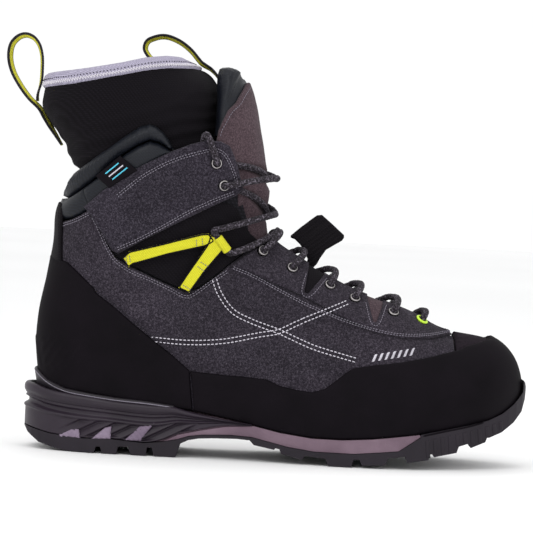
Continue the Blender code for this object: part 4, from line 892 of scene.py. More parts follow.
one, s_one = half_lace(-1, bar_half(-1))
two, s_two = half_lace(1, bar_half(1))
path = np.array(list(reversed(two)) + one)
LACE_PATH = smooth_line(path, 0.5)


# ------------------------------------------------------------------ the upper's panels
BACK_EDGE = [(40, 222), (61, 221.5), (73, 219), (83, 214.5), (93.5, 208.5), (97, 217)]
FEATHER_CUT = [(p[0], p[1] - 0.5) for p in FEATHER]
FEATHER_REV = list(reversed(FEATHER_CUT))


def nz(size, amount):
    return lambda p, ab, d: noise3(p, size) * amount


def wear(size=26.0, amount=0.22, ripple=0.06):
    return lambda p, ab, d: noise3(p, size) * amount + noise3(p, 5.0) * ripple


def line_ab(points, side=-1, curved=True, step=1.2, tube=LAST):
    phi, q = tube.locate(smooth_line(points, step) if curved else straight_line(points, step), -1)
    if side > 0:
        phi = 2 * math.pi - phi
    return np.stack([phi * AS, q], 1)


def hole_loops(word, side, rows, radius=2.95):
    out = []
    for i in rows:
        phi, q = LAST.locate(EYELETS[i], side)
        out.append(circle_hole(LAST, EYELETS[i], side, radius))
    return out


quarter_edge = BACK_EDGE + QUARTER_TOP[4:] + [(300, 200), (452.5, 290), (452.5, 422.2)] + [p for p in FEATHER_REV if p[0] < 450]
for word, side in (("lateral", -1), ("medial", 1)):
    lp = trace(quarter_edge, side, throat=True, step=1.6)
    o = panel("quarter_" + word, lp, -1.65, -0.05, "suede", grid=2.6, edge=1.1, holes=hole_loops(word, side, range(6)),
              relief=wear(30, 0.25))
    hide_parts("quarter_" + word)
    lp = trace(EYESTAY, side, throat=True, step=1.2)
    o = panel("eyestay_" + word, lp, 0.15, 1.75, "suede", grid=1.8, edge=1.0, holes=hole_loops(word, side, range(6)),
              relief=wear(22, 0.15))
    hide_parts("eyestay_" + word)
    for k, (notch, lining_of) in enumerate((([(306, 255), (329, 255), (324.5, 276), (308.5, 293.5), (303.3, 293), (306.2, 268)], "stretch"),
                                            ([(365.5, 280), (386, 280), (382.3, 305), (374.8, 321.6), (371.2, 321.2), (366, 301)], "tongue"))):
        panel("throat_gusset_%s_%d" % (word, k), trace(notch, side, throat=True, step=1.0), -0.4, 0.3, lining_of, grid=1.3, edge=0.4)
    lp = trace(CUFF, side, step=1.2)
    o = panel("ankle_cuff_" + word, lp, 0.2, 2.3, "cuff", grid=1.8, edge=1.4, holes=hole_loops(word, side, (6, 7)),
              relief=lambda p, ab, d: 0.5 * np.clip(d / 9 - 0.25, 0, 1) + noise3(p, 16) * 0.22 + noise3(p, 5) * 0.05)
    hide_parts("ankle_cuff_" + word)
    lp = trace(FLEX, side, step=1.4)
    o = panel("flex_panel_" + word, lp, -1.9, -0.55, "stretch", grid=2.2, edge=0.9,
              relief=lambda p, ab, d: 0.35 * np.sin(ab[:, 0] * 0.5 + ab[:, 1] * 0.7) * np.clip(d / 8, 0, 1) + noise3(p, 9) * 0.2)
    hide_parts("flex_panel_" + word)

# toe vamp and rubber rand
vamp_edge = [(453.5, 290), (560, 290), (560, 376), (532, 381.5), (520, 393.5), (512, 402.5), (500, 410.5), (485, 416.5),
             (465, 420.5), (453.5, 422.5)]
o = panel("toe_vamp", wrapped(vamp_edge, "front", 1.6), -2.05, -0.05, "vamp", grid=2.4, edge=0.8, relief=wear(20, 0.2))
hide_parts("toe_vamp")

HEEL_RAND = [(40, 246), (53, 253.5), (60, 258), (70.6, 261), (83, 272), (98, 286.5), (100, 291), (118, 305), (135, 320),
             (153, 335), (172, 350), (189, 365), (191, 367)]


def rand_relief(p, ab, d):
    """Moulded rubber: a bead inside the edge and faint moulding waves."""
    return 0.22 * np.exp(-((d - 2.4) / 0.9) ** 2) + noise3(p, 18) * 0.12


def heel_emblem(p, ab, d):
    """A plain embossed field at the heel: slanted bars inside a rounded frame."""
    cx, cz = to_mm((69, 352))
    u = (p[:, 0] - cx) / 17.0
    v = (p[:, 2] - cz) / 9.0
    r = np.maximum(np.abs(u + 0.12 * v), np.abs(v))
    frame_line = np.exp(-((r - 1.0) / 0.055) ** 2)
    bars = 0.5 + 0.5 * np.tanh(4 * np.sin((u * 17.0 - v * 5.0) * 2 * math.pi / 5.6))
    m = np.clip((0.86 - r) / 0.08, 0, 1)
    side_only = (p[:, 1] < 0).astype(float)
    return (0.45 * frame_line + 0.4 * bars * m) * side_only + rand_relief(p, ab, d)


heel_edge = HEEL_RAND + [(192, 380), (194, 405.6)] + [p for p in FEATHER_REV if p[0] < 190]
o = panel("rand_heel", wrapped(heel_edge, "back", 1.5), 0.15, 2.2, "rand", grid=2.0, edge=1.0, relief=heel_emblem)
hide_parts("rand_heel")
FRONT_RAND = [(191.8, 367.5), (204, 369), (220, 370.6), (243, 372.6), (266, 375), (280, 381.5), (296, 385), (311.5, 387.3), (323, 384),
              (333, 377), (343, 369), (351, 364), (372, 361), (396, 359), (429, 354), (456, 349), (462.5, 346.4), (474, 344),
              (486, 341), (489.8, 337.5), (484, 332.5), (476, 328), (470, 320)]
front_edge = FRONT_RAND + [(560, 300), (560, 376)] + [p for p in FEATHER_REV if p[0] > 200] + [(195.4, 406.5), (193.6, 380)]
o = panel("rand_front", wrapped(front_edge, "front", 1.5), 0.15, 2.2, "rand", grid=2.1, edge=1.2,
          relief=lambda p, ab, d: rand_relief(p, ab, d) + 0.5 * smoothstep(float(to_mm((470, 300))[0]), float(to_mm((505, 300))[0]), p[:, 0]))
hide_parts("rand_front")
cup_edge = [(10, 352), (35, 356.6), (41, 366.5), (53, 377), (70, 384.6), (95, 389.1), (119.5, 393), (150, 396.4), (176, 400.6),
            (178, 404.2), (150, 400.8), (120, 397.6), (95, 393.4), (66, 389.2), (47, 385.2), (36.6, 381.8), (10, 380.5)]
o = panel("heel_cup", wrapped(cup_edge, "back", 1.2), 2.2, 4.1, "cup", grid=1.8, edge=1.3)
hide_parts("heel_cup")

# black strip up the back
strip_edge = [(40, 201), (60, 201.4), (65.2, 203.5), (66.2, 209), (65.6, 222), (65.0, 240), (65.4, 262), (50, 262)]
o = panel("back_strip", wrapped(strip_edge, "back", 1.2), 0.1, 2.1, "webbing", grid=1.6, edge=1.0, relief=nz(6, 0.05))
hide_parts("back_stay")

# ------------------------------------------------------------------ padded collar: a pleated roll over a padded panel
ROLL_LOW = [(40, 197.5), (58, 197.3), (69.5, 197), (89.3, 184.5), (102, 175.6), (114, 165.5), (127.6, 155), (140, 147.6), (153, 142.4), (163, 145), (172, 151)]
ROLL_TOP = [(176, 151.4), (172, 142), (166.5, 134.5), (160, 129), (153, 126), (143, 128.4), (127.6, 137.3), (108.4, 150), (91, 161.5),
            (77.8, 170.5), (71.5, 177.5), (69, 184.5), (60, 190), (40, 190)]
roll_loop = wrapped(list(reversed(ROLL_TOP)) + list(reversed(ROLL_LOW)), "back", 1.3, False)


def roll_relief(p, ab, d):
    run = ab[:, 0]
    pleat = np.sin(run * 2 * math.pi / 3.1 + 1.5 * noise3(p, 11))
    flat_back = 2.6 * np.exp(-(run / AS / 0.45) ** 2)
    return 0.28 * pleat * np.clip(d / 3.5, 0, 1) + noise3(p, 14) * 0.35 + 1.1 * np.clip(d / 4.5 - 0.2, 0, 1) - flat_back


collar_roll = panel("collar_roll", roll_loop, -4.1, 2.6, "pad", grid=1.15, edge=6.0, relief=roll_relief)
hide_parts("collar_pad")

LOW_PAD = list(reversed(ROLL_LOW)) + [(40, 222), (61, 220.6), (73, 218), (83, 213.5), (93.5, 207.5), (101, 200), (110, 193), (120, 187.5),
                                       (137, 176), (155, 165.5), (176, 155)]


def low_relief(p, ab, d):
    return 1.3 * np.clip(d / 7, 0, 1) ** 0.8 + noise3(p, 12) * 0.3 + noise3(p, 4) * 0.06


SEAM_A = line_ab([(87, 190), (89, 196), (91, 202), (92.5, 208)], -1, False)
low_loop = wrapped(list(reversed(LOW_PAD)), "back", 1.4, False)
collar_low = panel("collar_panel", low_loop, -3.9, 0.1, "pad", grid=1.7, edge=3.0, relief=low_relief,
                   creases=[SEAM_A, np.stack([-SEAM_A[:, 0], SEAM_A[:, 1]], 1)], depth=1.2)


# ------------------------------------------------------------------ lace
def frames_along(path, up=(0, 0, 1)):
    t = np.gradient(path, axis=0)
    t /= np.linalg.norm(t, axis=1)[:, None]
    n = np.zeros_like(t)
    v = np.cross(t[0], up)
    if np.linalg.norm(v) < 1e-3:
        v = np.cross(t[0], (0, 1, 0))
    n[0] = v / np.linalg.norm(v)
    for i in range(1, len(t)):
        v = n[i - 1] - t[i] * (n[i - 1] @ t[i])
        n[i] = v / np.linalg.norm(v)
    return t, n, np.cross(t, n)


def resample(path, step):
    seg = np.linalg.norm(np.diff(path, axis=0), axis=1)
    arc = np.concatenate([[0], np.cumsum(seg)])
    s = np.linspace(0, arc[-1], max(2, int(arc[-1] / step)))
    return np.stack([np.interp(s, arc, path[:, k]) for k in range(3)], 1)


def soften(path, rounds=4):
    p = path.copy()
    for _ in range(rounds):
        p[1:-1] = 0.25 * p[:-2] + 0.5 * p[1:-1] + 0.25 * p[2:]
    return p


def braid(name, path, radius, material, step=0.42, sides=20, lead=5.2, strands=4, depth=0.26, body="boot"):
    """A round braid: two sets of strands crossing, over and under."""
    p = soften(resample(path, step), 6)
    t, n, b = frames_along(p)
    s = np.arange(len(p)) * step
    th = np.linspace(0, 2 * math.pi, sides, endpoint=False)
    S, T = np.meshgrid(s, th, indexing="ij")
    a = np.cos(strands * T + 2 * math.pi * S / lead)
    c = np.cos(strands * T - 2 * math.pi * S / lead)
    over = np.maximum(a, c)
    r = radius * (1 - 0.02) + depth * (over - 0.6)
    taper = np.clip(np.minimum(s, s[-1] - s) / 1.2, 0.35, 1)[:, None]
    r = r * taper
    pts = p[:, None, :] + r[..., None] * (np.cos(T)[..., None] * n[:, None, :] + np.sin(T)[..., None] * b[:, None, :])
    return loft_grid(name, pts, material, caps=True, body=body)


def lace_material():
    m, nt, b, co = new_material("lace_cord")
    n = add(nt, "ShaderNodeTexNoise", {"Vector": co, "Scale": 2200.0, "Detail": 3.0}).outputs["Fac"]
    v = add(nt, "ShaderNodeTexVoronoi", {"Vector": co, "Scale": 900.0}).outputs["Distance"]
    tot = add(nt, "ShaderNodeMath", {0: n, 1: v}, operation="ADD").outputs[0]
    half = add(nt, "ShaderNodeMath", {0: tot, 1: 0.55}, operation="MULTIPLY").outputs[0]
    nt.links.new(ramp(nt, half, [(0.3, lin(12, 10, 13)), (0.52, lin(34, 30, 35)), (0.64, lin(54, 49, 56)), (0.78, lin(104, 98, 108))]), b.inputs["Base Color"])
    b.inputs["Roughness"].default_value = 0.8
    b.inputs["Sheen Weight"].default_value = 0.03
    b.inputs["Specular IOR Level"].default_value = 0.15
    bump_of(nt, b, half, 0.6, 0.0002)
    return m


M["lace"] = lace_material()
lace = braid("lace", LACE_PATH, 2.05, "lace")
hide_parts("lace")


def revolve(profile, segments=36):
    """Closed (radius, height) outline turned about Z."""
    v, f = [], []
    n = len(profile)
    for k in range(segments):
        a = 2 * math.pi * k / segments
        for r, h in profile:
            v.append((r * math.cos(a), r * math.sin(a), h))
    for k in range(segments):
        j = (k + 1) % segments
        for i in range(n):
            i2 = (i + 1) % n
            f.append((k * n + i, j * n + i, j * n + i2, k * n + i2))
    return np.array(v), f


def round_profile(pts, rad=0.25, n=4):
    p = np.array(pts, float)
    out = []
    for i in range(len(p)):
        a, b, c = p[i - 1], p[i], p[(i + 1) % len(p)]
        u, w = a - b, c - b
        lu, lw = np.linalg.norm(u), np.linalg.norm(w)
        r = min(rad, lu * 0.45, lw * 0.45)
        s, e = b + u / lu * r, b + w / lw * r
        for t in np.linspace(0, 1, n):
            out.append((1 - t) ** 2 * s + 2 * t * (1 - t) * b + t * t * e)
    return out


def placed(verts, p, n, spin=0.0):
    rot = np.array(Vector(n).to_track_quat("Z", "Y").to_matrix())
    return verts @ rot.T + p


EYE_LOW = round_profile([(2.35, -2.2), (2.85, -2.2), (2.85, 1.95), (3.42, 2.05), (3.38, 2.5), (3.0, 2.95), (2.55, 2.95), (2.35, 2.6)], 0.3)
EYE_HIGH = round_profile([(2.35, 0.1), (2.85, 0.1), (2.85, 2.4), (3.42, 2.5), (3.38, 2.95), (3.0, 3.35), (2.55, 3.35), (2.35, 3.0)], 0.3)
EYE_LIME = round_profile([(2.35, -2.2), (2.85, -2.2), (2.85, 1.95), (4.1, 2.05), (4.05, 2.5), (3.5, 3.0), (2.55, 3.0), (2.35, 2.6)], 0.3)
for (word, i), (p, n) in holes.items():
    v, f = revolve(EYE_LIME if i == 0 else EYE_LOW if i < 6 else EYE_HIGH)
    o = fix_normals(mesh_from("eyelet_%s_%d" % (word, i + 1), placed(v, p, n), f, "lime" if i == 0 else "metal"))
    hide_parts("eyelet_%s_%d" % (word, i + 1))
for k, end, before in ((0, LACE_PATH[-1], LACE_PATH[-3]), (1, LACE_PATH[0], LACE_PATH[2])):
    d = (end - before) / np.linalg.norm(end - before)
    v, f = revolve([(0.02, 0.3), (1.7, 0.3), (1.8, 0.8), (1.65, 1.4), (1.65, 1.8), (1.78, 2.2), (1.6, 3.2), (1.5, 13.0), (1.2, 14.1), (0.02, 14.3)], 20)
    word = "lateral" if end[1] < 0 else "medial"
    o = fix_normals(mesh_from("aglet_" + word, placed(v, end, d), f, "aglet"))
    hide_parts("aglet_" + word)

# ------------------------------------------------------------------ tongue
HALF = 0.72
Q_WIDE = float(LAST.locate((242, 171))[1])      # above this height the tongue is free of the cuff and widens


def tongue_loop(top, q_low, q_wide=None):
    """Domain loop of a tongue part: its drawn free edge on one side, mirrored, and a narrower root between +-HALF."""
    chain = trace(top, -1, closed=False, step=1.3)
    chain = chain[chain[:, 0] > 1.9 * AS]
    q_wide = chain[0, 1] if q_wide is None else q_wide
    if q_wide > q_low + 1:
        qs = np.arange(q_low, q_wide, 1.4)
        root = np.stack([np.full(len(qs), (math.pi - HALF) * AS), qs], 1)
        n = max(2, int(((math.pi - HALF) * AS - chain[0, 0]) / 1.5))
        step_out = np.stack([np.linspace((math.pi - HALF) * AS, chain[0, 0], n + 1)[:-1], np.full(n, q_wide)], 1)
        chain = np.vstack([root, step_out, chain])
    chain = chain[chain[:, 0] < math.pi * AS - 0.5]
    tip = np.array([[math.pi * AS, chain[-1, 1]]])
    right = chain[::-1].copy()
    right[:, 0] = 2 * math.pi * AS - right[:, 0]
    loop = np.vstack([chain, tip, right])
    n = int((right[-1, 0] - chain[0, 0]) / 1.6)
    base = np.stack([np.linspace(right[-1, 0], chain[0, 0], n)[1:-1], np.full(n - 2, chain[0, 1])], 1)
    return np.vstack([loop, base])


LACE_3D = resample(LACE_PATH, 1.2)


def to_lace(p):
    best = np.full(len(p), 1e9)
    for i in range(0, len(p), 2000):
        dd = ((p[i:i + 2000, None, :] - LACE_3D[None]) ** 2).sum(2)
        best[i:i + 2000] = np.sqrt(dd.min(1))
    return best


SWELL_Z = [float(to_mm((0 + 268, y))[1]) for y in (290, 250, 225, 204, 187, 162, 130, 100, 60)]
SWELL = [3.6, 3.8, 4.6, 5.0, 4.6, 2.4, 0.9, 0.2, 0.0]


def tongue_relief(p, ab, d):
    """The padding swells towards the middle and is dented where the lace presses on it."""
    base = p + LAST.normal(ab[:, 0] / AS, ab[:, 1]) * tongue_depth(ab[:, 1])[:, None]
    room = np.clip(to_lace(base) - 2.6, 0, None)
    across = np.abs(ab[:, 0] / AS - math.pi)
    swell = np.interp(p[:, 2], SWELL_Z, SWELL) * np.clip(1 - (across / 0.62) ** 2, 0, 1) ** 0.7
    swell = swell * smoothstep(25, 55, ab[:, 1])
    h = np.minimum(swell, room * 0.9)
    return h + (noise3(p, 15) * 0.3 + noise3(p, 5) * 0.07) * np.clip(room, 0, 1)


TONGUE_EDGE = [(220.4, 149), (221.6, 140), (223.6, 132), (227.4, 124), (234.6, 111), (243, 103.2), (249.5, 92), (254.5, 82.8), (257, 80), (261, 81.6), (265, 86), (300, 92)]
tl = tongue_loop(TONGUE_EDGE, 33.0, Q_WIDE)
tongue = panel("tongue", tl, lambda p, ab: tongue_depth(ab[:, 1]) - 1.8, 0, "tongue", grid=1.7, edge=1.1,
               height=lambda p, ab: tongue_depth(ab[:, 1]), relief=tongue_relief, body=None)
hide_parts("tongue_lower", "tongue_upper")

PAD_EDGE = [(223.4, 138), (226.4, 125), (229.6, 100), (231.2, 84), (233.4, 73.5), (236.8, 67.2), (241.4, 65.2), (247, 66.4), (252, 70.4), (256, 76), (259.4, 79.4), (300, 82)]
pl = tongue_loop(PAD_EDGE, float(LAST.locate((222, 137.5))[1]))
UP_A, UP_B = to_mm((248, 78)), to_mm((221, 126))


def pad_relief(p, ab, d):
    """Under the suede the pad is pressed flat; above the suede's edge it swells out, with a fold in it."""
    u = UP_B - UP_A
    side = (p[:, 0] - UP_A[0]) * u[1] - (p[:, 2] - UP_A[1]) * u[0]
    out = -side / np.linalg.norm(u)
    if out[np.argmax(p[:, 2])] < 0:
        out = -out
    fold = 0.5 * np.sin(out * 1.3 + noise3(p, 9))
    return 2.3 * smoothstep(-0.5, 3.0, out) + fold * smoothstep(0, 3, out) * 0.5 + noise3(p, 10) * 0.3


tongue_pad = panel("tongue_pad", pl, lambda p, ab: tongue_depth(ab[:, 1]) - 9.5, 0, "pad", grid=1.6, edge=4.0,
                   height=lambda p, ab: tongue_depth(ab[:, 1]) - 2.1, relief=pad_relief, body="tongue_top")
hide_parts("tongue_pad")


# ------------------------------------------------------------------ gaiter and its binding
def sleeve(name, tube, top, bottom, outer, inner, material, rows=40, n_phi=150, relief=None, lip=2, body="boot"):
    """A closed sleeve of a tube between two drawn side lines; outer and inner are mm from the skin."""
    phi = np.linspace(0, 2 * math.pi, n_phi, endpoint=False)
    top, bottom = to_mm(np.array(top, float)), to_mm(np.array(bottom, float))

    def solve(line):
        q = np.full(n_phi, float(line[:, 1].mean()) - tube.k * 0)
        for _ in range(60):
            p = tube.skin(phi, q)
            z = np.interp(p[:, 0], line[:, 0], line[:, 1])
            q = 0.5 * q + 0.5 * (z - tube.k * p[:, 0])
        return q
    qt, qb = solve(top), solve(bottom)
    t = np.linspace(0, 1, rows)[:, None]
    Q = qb * (1 - t) + qt * t
    P = np.broadcast_to(phi, Q.shape)
    skin = tube.skin(P, Q)
    nrm = tube.normal(P, Q)
    add_h = relief(skin, P, t) if relief is not None else 0.0
    out = skin + nrm * (outer + add_h)[..., None] if np.ndim(add_h) else skin + nrm * outer
    inn = skin + nrm * inner
    mid = (outer + inner) / 2
    rim_t = skin[-1] + nrm[-1] * (mid + (add_h[-1] if np.ndim(add_h) else 0) * 0.5)[..., None] if np.ndim(add_h) else skin[-1] + nrm[-1] * mid
    rim_b = skin[0] + nrm[0] * mid
    up = np.array([0, 0, abs(outer - inner) * 0.45])
    pts = np.concatenate([rim_b[None] - up, out, rim_t[None] + up, inn[::-1]], 0)
    return loft_grid(name, pts, material, closed_u=True, closed_v=True, body=body), (phi, qt, qb)


GAITER_TOP = [(20, 88.5), (45, 88.5), (75, 87), (100, 83.5), (125, 78), (150, 72.5), (175, 70.3), (196, 69.6), (215, 72), (240, 74)]
GAITER_LOW = [(40, 203), (66, 200), (90, 192.5), (130, 180.5), (180, 167), (205, 160.5), (215, 158), (230, 156)]


SLOUCH_Z = float(to_mm((72, 158))[1])


def gaiter_relief(skin, P, t):
    fold = 0.55 * np.sin(t * 46 + 2.2 * noise3(skin, 22) + 1.4 * np.cos(P)) * np.clip(1 - np.abs(t - 0.35) / 0.45, 0, 1)
    back = np.minimum(P, 2 * math.pi - P)
    slouch = 2.6 * np.exp(-(back / 0.8) ** 2) * np.exp(-((skin[..., 2] - SLOUCH_Z) / 6.5) ** 2)
    return fold + noise3(skin, 13) * 0.5 + noise3(skin, 5) * 0.12 - 0.4 + slouch


gaiter, _ = sleeve("stretch_gaiter", GAITER, GAITER_TOP, GAITER_LOW, -0.2, -2.0, "stretch", rows=70, n_phi=170, relief=gaiter_relief)
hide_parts("stretch_gaiter")
BIND_TOP = [(20, 76.6), (46, 76.6), (75, 75), (92, 73.4), (110, 71), (126, 68.4), (150, 63), (170, 60.6), (184, 60.8), (193, 64), (200, 67), (230, 75)]
BIND_LOW = [(20, 87.2), (47, 87.2), (75, 84.6), (100, 81), (126, 76.5), (150, 72), (170, 69.5), (196, 69), (210, 71), (230, 80)]
binding, bind_q = sleeve("gaiter_binding", GAITER, BIND_TOP, BIND_LOW, 0.5, -2.9, "binding", rows=14, n_phi=170,
                         relief=lambda s, P, t: 0.5 * np.sin(np.clip(t, 0, 1) * math.pi) * np.ones_like(P) + 0.12 * np.cos(P * 120) + noise3(s, 9) * 0.1)
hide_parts("gaiter_binding")
lin_top = [(30, 208), (64, 205), (90, 197), (130, 185), (180, 172), (215, 165), (290, 150)]


def zigzag_row(tube, qt, qb, phi, fracs, h, pitch):
    """A zigzag of thread between two heights of a sleeve."""
    P = np.linspace(0, 2 * math.pi, int(270 / pitch) * 2 + 1)
    f = np.where(np.arange(len(P)) % 2 == 0, fracs[0], fracs[1])
    a = np.interp(P % (2 * math.pi), np.append(phi, 2 * math.pi), np.append(qt, qt[0]))
    b = np.interp(P % (2 * math.pi), np.append(phi, 2 * math.pi), np.append(qb, qb[0]))
    q = b + (a - b) * f
    return tube.at(P, q, np.full(len(P), h)), tube.normal(P, q)


def stitches_on(name, rows, material, radius=0.3):
    """Each row is a polyline whose every segment is one thread."""
    V, F = [], []
    base = 0
    for pts, nrm in rows:
        for a, b, n in zip(pts[:-1], pts[1:], nrm[:-1]):
            t = b - a
            ln = np.linalg.norm(t)
            t = t / ln
            n = n - t * (n @ t)
            n /= np.linalg.norm(n)
            w = np.cross(n, t)
            v = CAP_V * np.array([ln * 1.06, radius, radius])
            V.append((a + b) / 2 + v[:, :1] * t + v[:, 1:2] * w + v[:, 2:3] * n)
            F += [tuple(i + base for i in f) for f in CAP_F]
            base += len(CAP_V)
    return mesh_from(name, np.vstack(V), F, material, True, "boot")


phi_b, qt_b, qb_b = bind_q
zz = zigzag_row(GAITER, qt_b, qb_b, phi_b, (0.03, 0.42), 1.0, 1.7)
stitches_on("binding_zigzag", [zz], "thread", 0.36)
P = np.linspace(0, 2 * math.pi, 240)
fr = 0.58
qq = np.interp(P, np.append(phi_b, 2 * math.pi), np.append(qb_b + (qt_b - qb_b) * fr, (qb_b + (qt_b - qb_b) * fr)[0]))
stitch_rows("binding_dots", [(GAITER.at(P, qq, np.full(len(P), 1.15)), GAITER.normal(P, qq))], "thread_dark", pitch=2.2, length=0.9, radius=0.3)

# ------------------------------------------------------------------ lining
lining, _ = sleeve("lining", LAST, lin_top[:-2] + [(215, 170), (262, 168), (290, 168)], [(p[0], p[1] - 1.0) for p in FEATHER], -4.45, -5.8, "lining", rows=46, n_phi=120,
                   relief=lambda s, P, t: -1.0 * (3.8 * smoothstep(0.95, 0.35, np.abs(P - math.pi)) * np.clip(t * 3 - 0.5, 0, 1)) + noise3(s, 15) * 0.1)
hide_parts("lining_bootie")


# ------------------------------------------------------------------ webbing
def ribbon_path(points, step=0.5):
    """Frame path of a strap drawn edge-on: (n, 2) of x, z in mm."""
    return to_mm(smooth_line(points, step / U))


def strap(name, xz, width, thick, material, body=None, rib=0.9, y0=0.0, cols=28, arch=0.0, lean=0.0):
    """A woven strap lying across y: ribs run across it, fainter towards its rounded edges."""
    t = np.gradient(xz, axis=0)
    t /= np.linalg.norm(t, axis=1)[:, None]
    n = np.stack([-t[:, 1], t[:, 0]], 1)
    seg = np.concatenate([[0], np.cumsum(np.linalg.norm(np.diff(xz, axis=0), axis=1))])
    pts = []
    us = np.linspace(-1, 1, cols)
    for i in range(len(xz)):
        w = width / 2
        rib_h = 0.11 * math.sin(2 * math.pi * seg[i] / rib)
        ring = []
        for sgn, order in ((1, us), (-1, us[::-1])):
            for u in order:
                edge = math.sqrt(max(1 - abs(u) ** 8, 0.0))
                weave = rib_h * (1 if abs(u) < 0.8 else 0.3) + 0.06 * math.cos(u * width * 3.2)
                h = sgn * (thick / 2 * edge + weave * edge) + arch * (1 - u * u)
                f = lean * min(1.0, seg[i] / 14.0, (seg[-1] - seg[i]) / 14.0)
                cf, sf = math.cos(f), math.sin(f)
                hh, uu = h * cf - u * w * sf, h * sf + u * w * cf
                ring.append((xz[i, 0] + n[i, 0] * hh, y0 + uu, xz[i, 1] + n[i, 1] * hh))
        pts.append(ring)
    return loft_grid(name, np.array(pts), material, caps=True, body=body)


def webbing_material(name, edge, mid, pitch=0.0009, width=0.0055, y0=0.0, axis=1):
    """Woven tape, edge colour beyond a distance from the strap's middle line."""
    m, nt, b, co = new_material(name)
    sep = add(nt, "ShaderNodeSeparateXYZ", {0: co})
    y = sep.outputs[axis]
    off = add(nt, "ShaderNodeMath", {0: y, 1: y0}, operation="SUBTRACT").outputs[0]
    dist = add(nt, "ShaderNodeMath", {0: off}, operation="ABSOLUTE").outputs[0]
    fac = add(nt, "ShaderNodeMapRange", {"Value": dist, "From Min": width * 0.52, "From Max": width * 0.6}).outputs[0]
    w = add(nt, "ShaderNodeTexWave", {"Vector": co, "Scale": 0.314 / pitch, "Distortion": 0.4}, bands_direction="DIAGONAL").outputs["Fac"]
    n = add(nt, "ShaderNodeTexNoise", {"Vector": co, "Scale": 2600.0, "Detail": 2.0}).outputs["Fac"]
    tot = add(nt, "ShaderNodeMath", {0: w, 1: n}, operation="ADD").outputs[0]
    half = add(nt, "ShaderNodeMath", {0: tot, 1: 0.5}, operation="MULTIPLY").outputs[0]
    cm = ramp(nt, half, [(0.2, tuple(c * 0.6 for c in mid)), (0.7, mid)])
    ce = ramp(nt, half, [(0.2, tuple(c * 0.6 for c in edge)), (0.7, edge)])
    mix = add(nt, "ShaderNodeMix", {0: fac, 6: cm, 7: ce}, data_type="RGBA").outputs[2]
    nt.links.new(mix, b.inputs["Base Color"])
    b.inputs["Roughness"].default_value = 0.85
    b.inputs["Specular IOR Level"].default_value = 0.15
    b.inputs["Sheen Weight"].default_value = 0.05
    bump_of(nt, b, half, 0.5, 0.0003)
    return m


YELLOW = lin(226, 222, 52)
DARKW = lin(34, 31, 36)
M["loop"] = webbing_material("yellow_webbing", DARKW, YELLOW, width=0.0055, y0=YS * MM)
M["yellow"] = knit("yellow_tape", tuple(c * 0.62 for c in YELLOW), YELLOW, 0.0008, 0.85, 0.05, 0.5)

rear_pts = [(62, 145), (57.5, 137.5), (51.2, 127.2), (45.4, 117.5), (40.4, 108.5)] + REAR_LOOP[1:]
rear = strap("pull_loop_rear", ribbon_path(rear_pts, 0.45)[::1], 11.0, 1.4, "loop", lean=0.2)
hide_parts("pull_loop_rear", "pull_loop_rear_tail")
front_pts = [(194.5, 76.5), (187, 79.2), (177, 79.2), (167, 75.6), (159.5, 69.5)] + FRONT_LOOP + [(206, 66.6), (211, 69.6), (216.5, 75.3), (220, 81)]
front = strap("pull_loop_front", ribbon_path(front_pts, 0.45), 11.0, 1.4, "loop", lean=0.2)
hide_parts("pull_loop_front", "pull_loop_front_tail")


def body_point(joint):
    return Vector([j for j in frame["joints"] if j["name"] == joint][0]["pos_m"]) if isinstance(frame["joints"], list) else Vector(frame["joints"][joint]["pos_m"])


# keeper: a folded loop of ribbed tape standing on the tongue
KEEPER = [(306.5, 264), (307.6, 259), (304.5, 252), (300, 244.5), (295, 239.5), (290.5, 237.6), (290.8, 235.4), (300, 227.8), (312, 218.8), (317, 215.3), (322, 214.8), (333, 224.6),
          (344, 235), (344.2, 237.6), (342, 240.8), (334, 245.3), (326, 250), (320, 258.5), (317, 264), (313, 268)]


